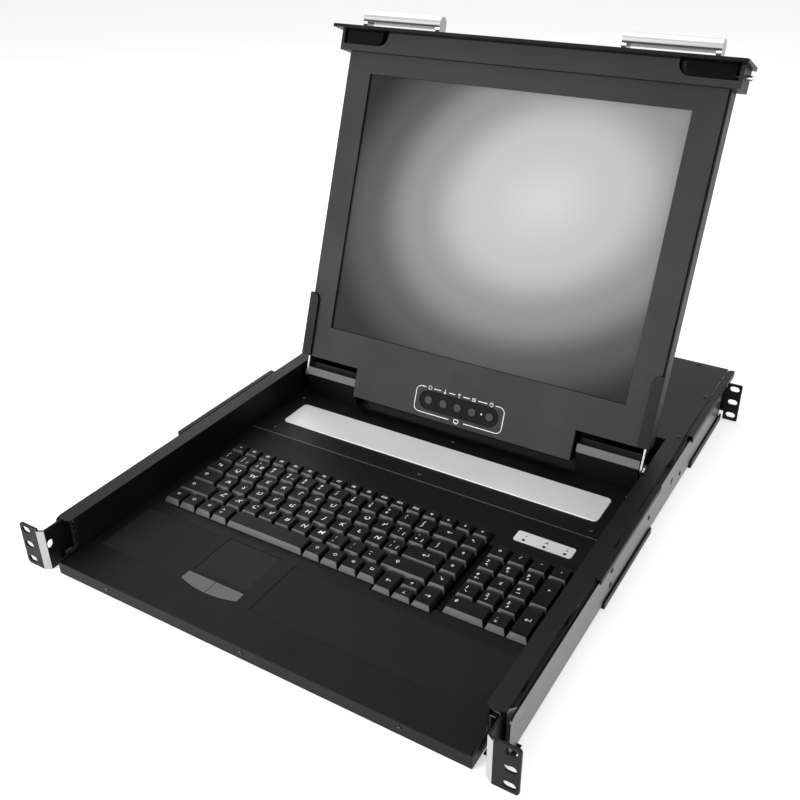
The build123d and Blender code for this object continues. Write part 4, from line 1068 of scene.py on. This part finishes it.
def screw_head(radius, height, sides=20):
    """A domed head with a cross recess, standing on z = 0, in metres."""
    bm = bmesh.new()
    levels = ((1, 0), (1, 0.35), (0.82, 0.8), (0.62, 1))
    rings = [circle(bm, radius * share, height * level, sides) for share, level in levels]
    for lower, upper in zip(rings, rings[1:]):
        stitch(bm, lower, upper)
    bm.faces.new(list(reversed(rings[0])))
    crown = rings[-1]
    arm, half = radius * 0.5, radius * 0.13
    cross = []
    for quarter in range(4):
        c, s = math.cos(quarter * math.pi / 2), math.sin(quarter * math.pi / 2)
        for x, y in ((arm, -half), (arm, half), (half, half)):
            cross.append((x * c - y * s, x * s + y * c))
    lip = [bm.verts.new((x, y, height)) for x, y in cross]
    floor_ring = [bm.verts.new((x, y, height * 0.3)) for x, y in cross]
    stitch(bm, lip, floor_ring)
    bm.faces.new(floor_ring)
    crown_edges = [bm.edges.get((crown[i], crown[(i + 1) % sides])) for i in range(sides)]
    lip_edges = [bm.edges.get((lip[i], lip[(i + 1) % 12])) for i in range(12)]
    bmesh.ops.triangle_fill(bm, edges=crown_edges + lip_edges, use_beauty=True)
    return mesh_from(bm, "screw_head")


upright = (0, 0, 0)
to_front = (math.pi / 2, 0, 0)
to_rear = (-math.pi / 2, 0, 0)
to_right = (0, math.pi / 2, 0)
to_left = (0, -math.pi / 2, 0)
out_of_lid = lid_frame.to_euler()
behind_lid = (lid_frame.to_3x3() @ Matrix.Rotation(math.pi, 3, "X")).to_euler()
half_depth = 294


def measured(x, y, z):
    """A point in metres from millimetres behind the front ears."""
    return (x * MM, (y - half_depth) * MM, z * MM)


sets = {
    "screws_deck": (2.6, 1.3, "drawer", [
        (measured(x, 281.5, 10.5), upright) for x in (-180, 0, 180)
    ] + [
        (measured(x, y, 10.5), upright) for x, y in ((0, 350.8), (-190, 347.5), (190, 347.5))
    ]),
    "screws_cover": (2.4, 1.1, "drawer", [
        (measured(side * x, y, 44.0), upright)
        for side in (-1, 1) for x, y in ((185, 584), (212, 514), (212, 423))
    ] + [(measured(x, 584, 44.0), upright) for x in (-60, 60)]),
    "screws_lip": (1.9, 0.8, "drawer", [
        (measured(x, 3.5, 6.2), to_front) for x in (-145, 0, 145)
    ]),
    "screws_lid": (2.2, 0.9, "lid", [
        (tuple(on_lid(x, s, -23.0)), behind_lid)
        for x in (-185, 185) for s in (-20, 130, 280)
    ] + [(tuple(on_lid(x, s, -23.0)), behind_lid) for x in (-60, 60) for s in (-55, 280)]),
    "screws_rails": (2.6, 0.8, "rack_rails", [
        (measured(side * 222.0, y, z), to_right if side > 0 else to_left)
        for side in (-1, 1) for y, z in ((215, 15), (215, 30), (310, 22.5), (405, 15))
    ]),
}
for name, (radius, height, body, places) in sets.items():
    heads = copies(screw_head(radius * MM, height * MM), places, screw_black)
    piece(name, heads, screw_black, body)
print("screws:", sum(len(places) for _, _, _, places in sets.values()))

# %% [markdown]
# ## Lamps, lines and symbols on the flat parts
# The status label has three small lamps with a plain sign above each. Under the
# screen, a thin white line frames the five buttons; its top side opens for a sign
# above each button. The words that such products print there are left out.

# %% Status lamps


def lamp_mesh(radius, height, sides=16):
    """A low domed lens on z = 0, in metres."""
    bm = bmesh.new()
    levels = ((1.0, 0.0), (1.0, 0.5), (0.8, 0.85), (0.4, 1.0))
    close(bm, [circle(bm, radius * share, height * level, sides) for share, level in levels])
    return mesh_from(bm, "lamp")


lamp_lens = coated("lamp_lens", 0.012, 0.12, grain=900, bump=0.02, specular=0.5, tint=(0.7, 1, 0.7), edge=0)
lamp_bright = coated("lamp_bright", 0.8, 0.3, grain=900, bump=0.02, edge=0)
label_x = (133.4, 153.1, 172.7)
lamp_y, sign_y, label_top = 235.4, 241.6, 12.6
spots = [(measured(x, lamp_y, label_top), upright) for x in label_x]
lenses = copies(lamp_mesh(1.5 * MM, 0.5 * MM), spots, lamp_lens)
piece("lamps_status", lenses, lamp_lens, "drawer")
label_marks = bmesh.new()
for x, what, size in zip(label_x, ("1", "A", "down"), (4.6, 4.6, 3.4)):
    add_mark(label_marks, what, x, sign_y, size, lambda co: measured(co.x, co.y, label_top + 0.02 + co.z))
piece("marks_status", mesh_from(label_marks, "marks"), print_dark, "drawer", smooth=False)
print("status lamps:", len(spots))

# %% Latch levers


def lever_mesh(side):
    """A flat lever that fills the latch's pocket, with its inner lower corner rounded."""
    bm = bmesh.new()
    inner, outer, low, high, radius = 156.4, 200.2, 297.9, 310.9, 7.5
    edge = [(outer, high), (inner, high)]
    edge += [(inner + radius + x, low + radius + y) for x, y in arc(0, 0, radius, 180, 270, 8)]
    edge += [(outer, low)]
    middle_x, middle_up = 178, 304
    slimmer = [(middle_x + (x - middle_x) * 0.985, middle_up + (s - middle_up) * 0.96) for x, s in edge]
    close(bm, [
        [bm.verts.new(on_lid(side * x, s, level)) for x, s in line]
        for line, level in ((edge, -2.2), (edge, 5.5), (slimmer, 5.8))
    ])
    return mesh_from(bm, "lever")


def pin_mesh(side):
    """The round latch pin with a chamfered tip."""
    bm = bmesh.new()
    pin_up, pin_out, sides = 302, -5, 20
    turns = [2 * math.pi * i / sides for i in range(sides)]
    close(bm, [
        [
            bm.verts.new(on_lid(side * x, pin_up + radius * math.cos(a), pin_out + radius * math.sin(a)))
            for a in turns
        ]
        for x, radius in ((186.2, 2.24), (212.4, 2.24), (213.1, 1.6))
    ])
    return mesh_from(bm, "pin")


for side, word in ((-1, "left"), (1, "right")):
    body = "latch_" + word
    piece("lever_" + word, lever_mesh(side), gloss_black, body, stands_for=body)
    piece("pin_" + word, pin_mesh(side), screw_steel, body)
print("latches:", 2)

# %% Frame and signs round the screen buttons
frame_half, frame_high, frame_low, frame_radius = 51.0, -35.0, -62.4, 6.0
button_x = (-35.6, -18.0, -1.4, 15.6, 35.6)
line_width = 0.8
corner = {
    "top_left": arc(-frame_half + frame_radius, frame_high - frame_radius, frame_radius, 90, 180, 6),
    "low_left": arc(-frame_half + frame_radius, frame_low + frame_radius, frame_radius, 180, 270, 6),
    "low_right": arc(frame_half - frame_radius, frame_low + frame_radius, frame_radius, 270, 360, 6),
    "top_right": arc(frame_half - frame_radius, frame_high - frame_radius, frame_radius, 0, 90, 6),
}
gap = 5.2
lines = [
    [(button_x[0] - gap, frame_high)] + corner["top_left"] + corner["low_left"] + [(-9.0, frame_low)],
    [(9.0, frame_low)] + corner["low_right"] + corner["top_right"] + [(button_x[4] + gap, frame_high)],
]
for left_x, right_x in zip(button_x, button_x[1:]):
    if right_x - left_x > 2 * gap + 1.5:
        lines.append([(left_x + gap, frame_high), (right_x - gap, frame_high)])
frame_marks = bmesh.new()
for line in lines:
    stroke(frame_marks, line, line_width)
screen_signs = [
    ("ring", button_x[0], 4.8), ("down", button_x[1], 4.4), ("up", button_x[2], 4.4),
    ("menu", button_x[3], 4.6), ("power", button_x[4], 4.8), ("frame", 0.0, 5.4),
]
for what, x, size in screen_signs:
    add_mark(frame_marks, what, x, frame_low if what == "frame" else frame_high, size)
for vertex in frame_marks.verts:
    vertex.co = on_lid(vertex.co.x, vertex.co.y, 0.03 + vertex.co.z)
piece("marks_screen", mesh_from(frame_marks, "marks"), print_white, "lid", smooth=False)
lamp_place = [(tuple(on_lid(26.4, -47.6, -0.85)), tuple(out_of_lid))]
lens = copies(lamp_mesh(1.0 * MM, 0.7 * MM), lamp_place, lamp_bright)
piece("lamp_screen", lens, lamp_bright, "lid")
print("lines round the buttons:", len(lines))

# %% [markdown]
# ## Rear sockets and small hardware
# The back of the drawer has a console socket with fifteen pins. The holes in the
# outer rails show the dark head of a slide screw.

# %% Console socket


def post_mesh(radius, height, sides, hollow):
    """A straight post on z = 0 with a blind hole in its end, in metres."""
    bm = bmesh.new()
    levels = (
        (radius, 0), (radius, height * 0.9), (radius * 0.88, height),
        (radius * hollow, height), (radius * hollow, height * 0.2),
    )
    close(bm, [circle(bm, r, z, sides) for r, z in levels])
    return mesh_from(bm, "post")


socket_x, socket_y, socket_z = -92.0, 579.5, 22.0
pin_pitch, row_pitch, row_shift = 2.3, 2.0, 0.6
pins = []
for row in range(3):
    for column in range(5):
        x = socket_x + (column - 2) * pin_pitch + (row_shift if row == 1 else 0)
        pins.append((measured(x, socket_y, socket_z + (row - 1) * row_pitch), to_rear))
posts = copies(post_mesh(0.5 * MM, 6.0 * MM, 8, 0.3), pins, screw_steel)
piece("socket_pins", posts, screw_steel, "drawer")
plugs = [(measured(side * 220.6, 375.6, 23.3), to_right if side > 0 else to_left) for side in (-1, 1)]
heads = copies(screw_head(3.2 * MM, 1.3 * MM), plugs, screw_black)
piece("slide_screws", heads, screw_black, "rack_rails")
print("pins:", len(pins))

# %% Painted highlight along the rear edge of the keyboard deck


def bar(name, xs, ys, zs):
    """A straight bar between two values on each axis, in metres."""
    bm = bmesh.new()
    corners = [bm.verts.new((x, y, z)) for x in xs for y in ys for z in zs]
    bmesh.ops.convex_hull(bm, input=corners)
    return mesh_from(bm, name)


deck_low, deck_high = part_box("keyboard_deck")
seam_inset, seam_front, seam_rear, seam_levels = 0.001, 0.0011, 0.0003, (0.0119, 0.01215)
seam_x = (deck_low[0] + seam_inset, deck_high[0] - seam_inset)
seam_y = (deck_high[1] - seam_front, deck_high[1] - seam_rear)
# A thin pale bar on the rear edge of the deck, as a painted highlight.
painted_edge_highlight = coated("painted_edge_highlight", 0.09, 0.4, grain=2600, bump=0.1, edge=0)
seam = bar("seam", seam_x, seam_y, seam_levels)
piece("deck_edge", seam, painted_edge_highlight, "drawer", smooth=False)
print("edge line of the deck, mm:", round((seam_x[1] - seam_x[0]) * 1000, 1))

# %% [markdown]
# ## Brush strips and gap plates
# Each rear bracket carries a thin strip that closes the slit beside the rear cover,
# and a small plate closes the gap between each front ear and the tray.

# %% Strips and plates
cover_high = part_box("rear_cover")[1]
strip_gap, strip_outer, strip_levels = 0.0002, 0.2212, (0.0424, 0.0432)
strip_front_inset, strip_rear_inset = 0.001, 0.0012
plate_x, plate_y, plate_levels = (0.2045, 0.2245), (-0.276, -0.256), (0.001, 0.0022)
for side, word in ((-1, "left"), (1, "right")):
    bracket_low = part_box("rear_bracket_" + word)[0]
    strip_x = (side * (cover_high[0] + strip_gap), side * strip_outer)
    strip_y = (bracket_low[1] + strip_front_inset, cover_high[1] - strip_rear_inset)
    strip = bar("brush_" + word, strip_x, strip_y, strip_levels)
    piece("brush_" + word, strip, powder_black, "rear_bracket_" + word, smooth=False)
    plate = bar("gap_plate_" + word, [side * x for x in plate_x], plate_y, plate_levels)
    piece("gap_plate_" + word, plate, powder_black, "rack_rails", smooth=False)
print("strip, mm long:", round((strip_y[1] - strip_y[0]) * 1000, 1))

# %% Count the small pieces
print("small pieces:", len(small_pieces))
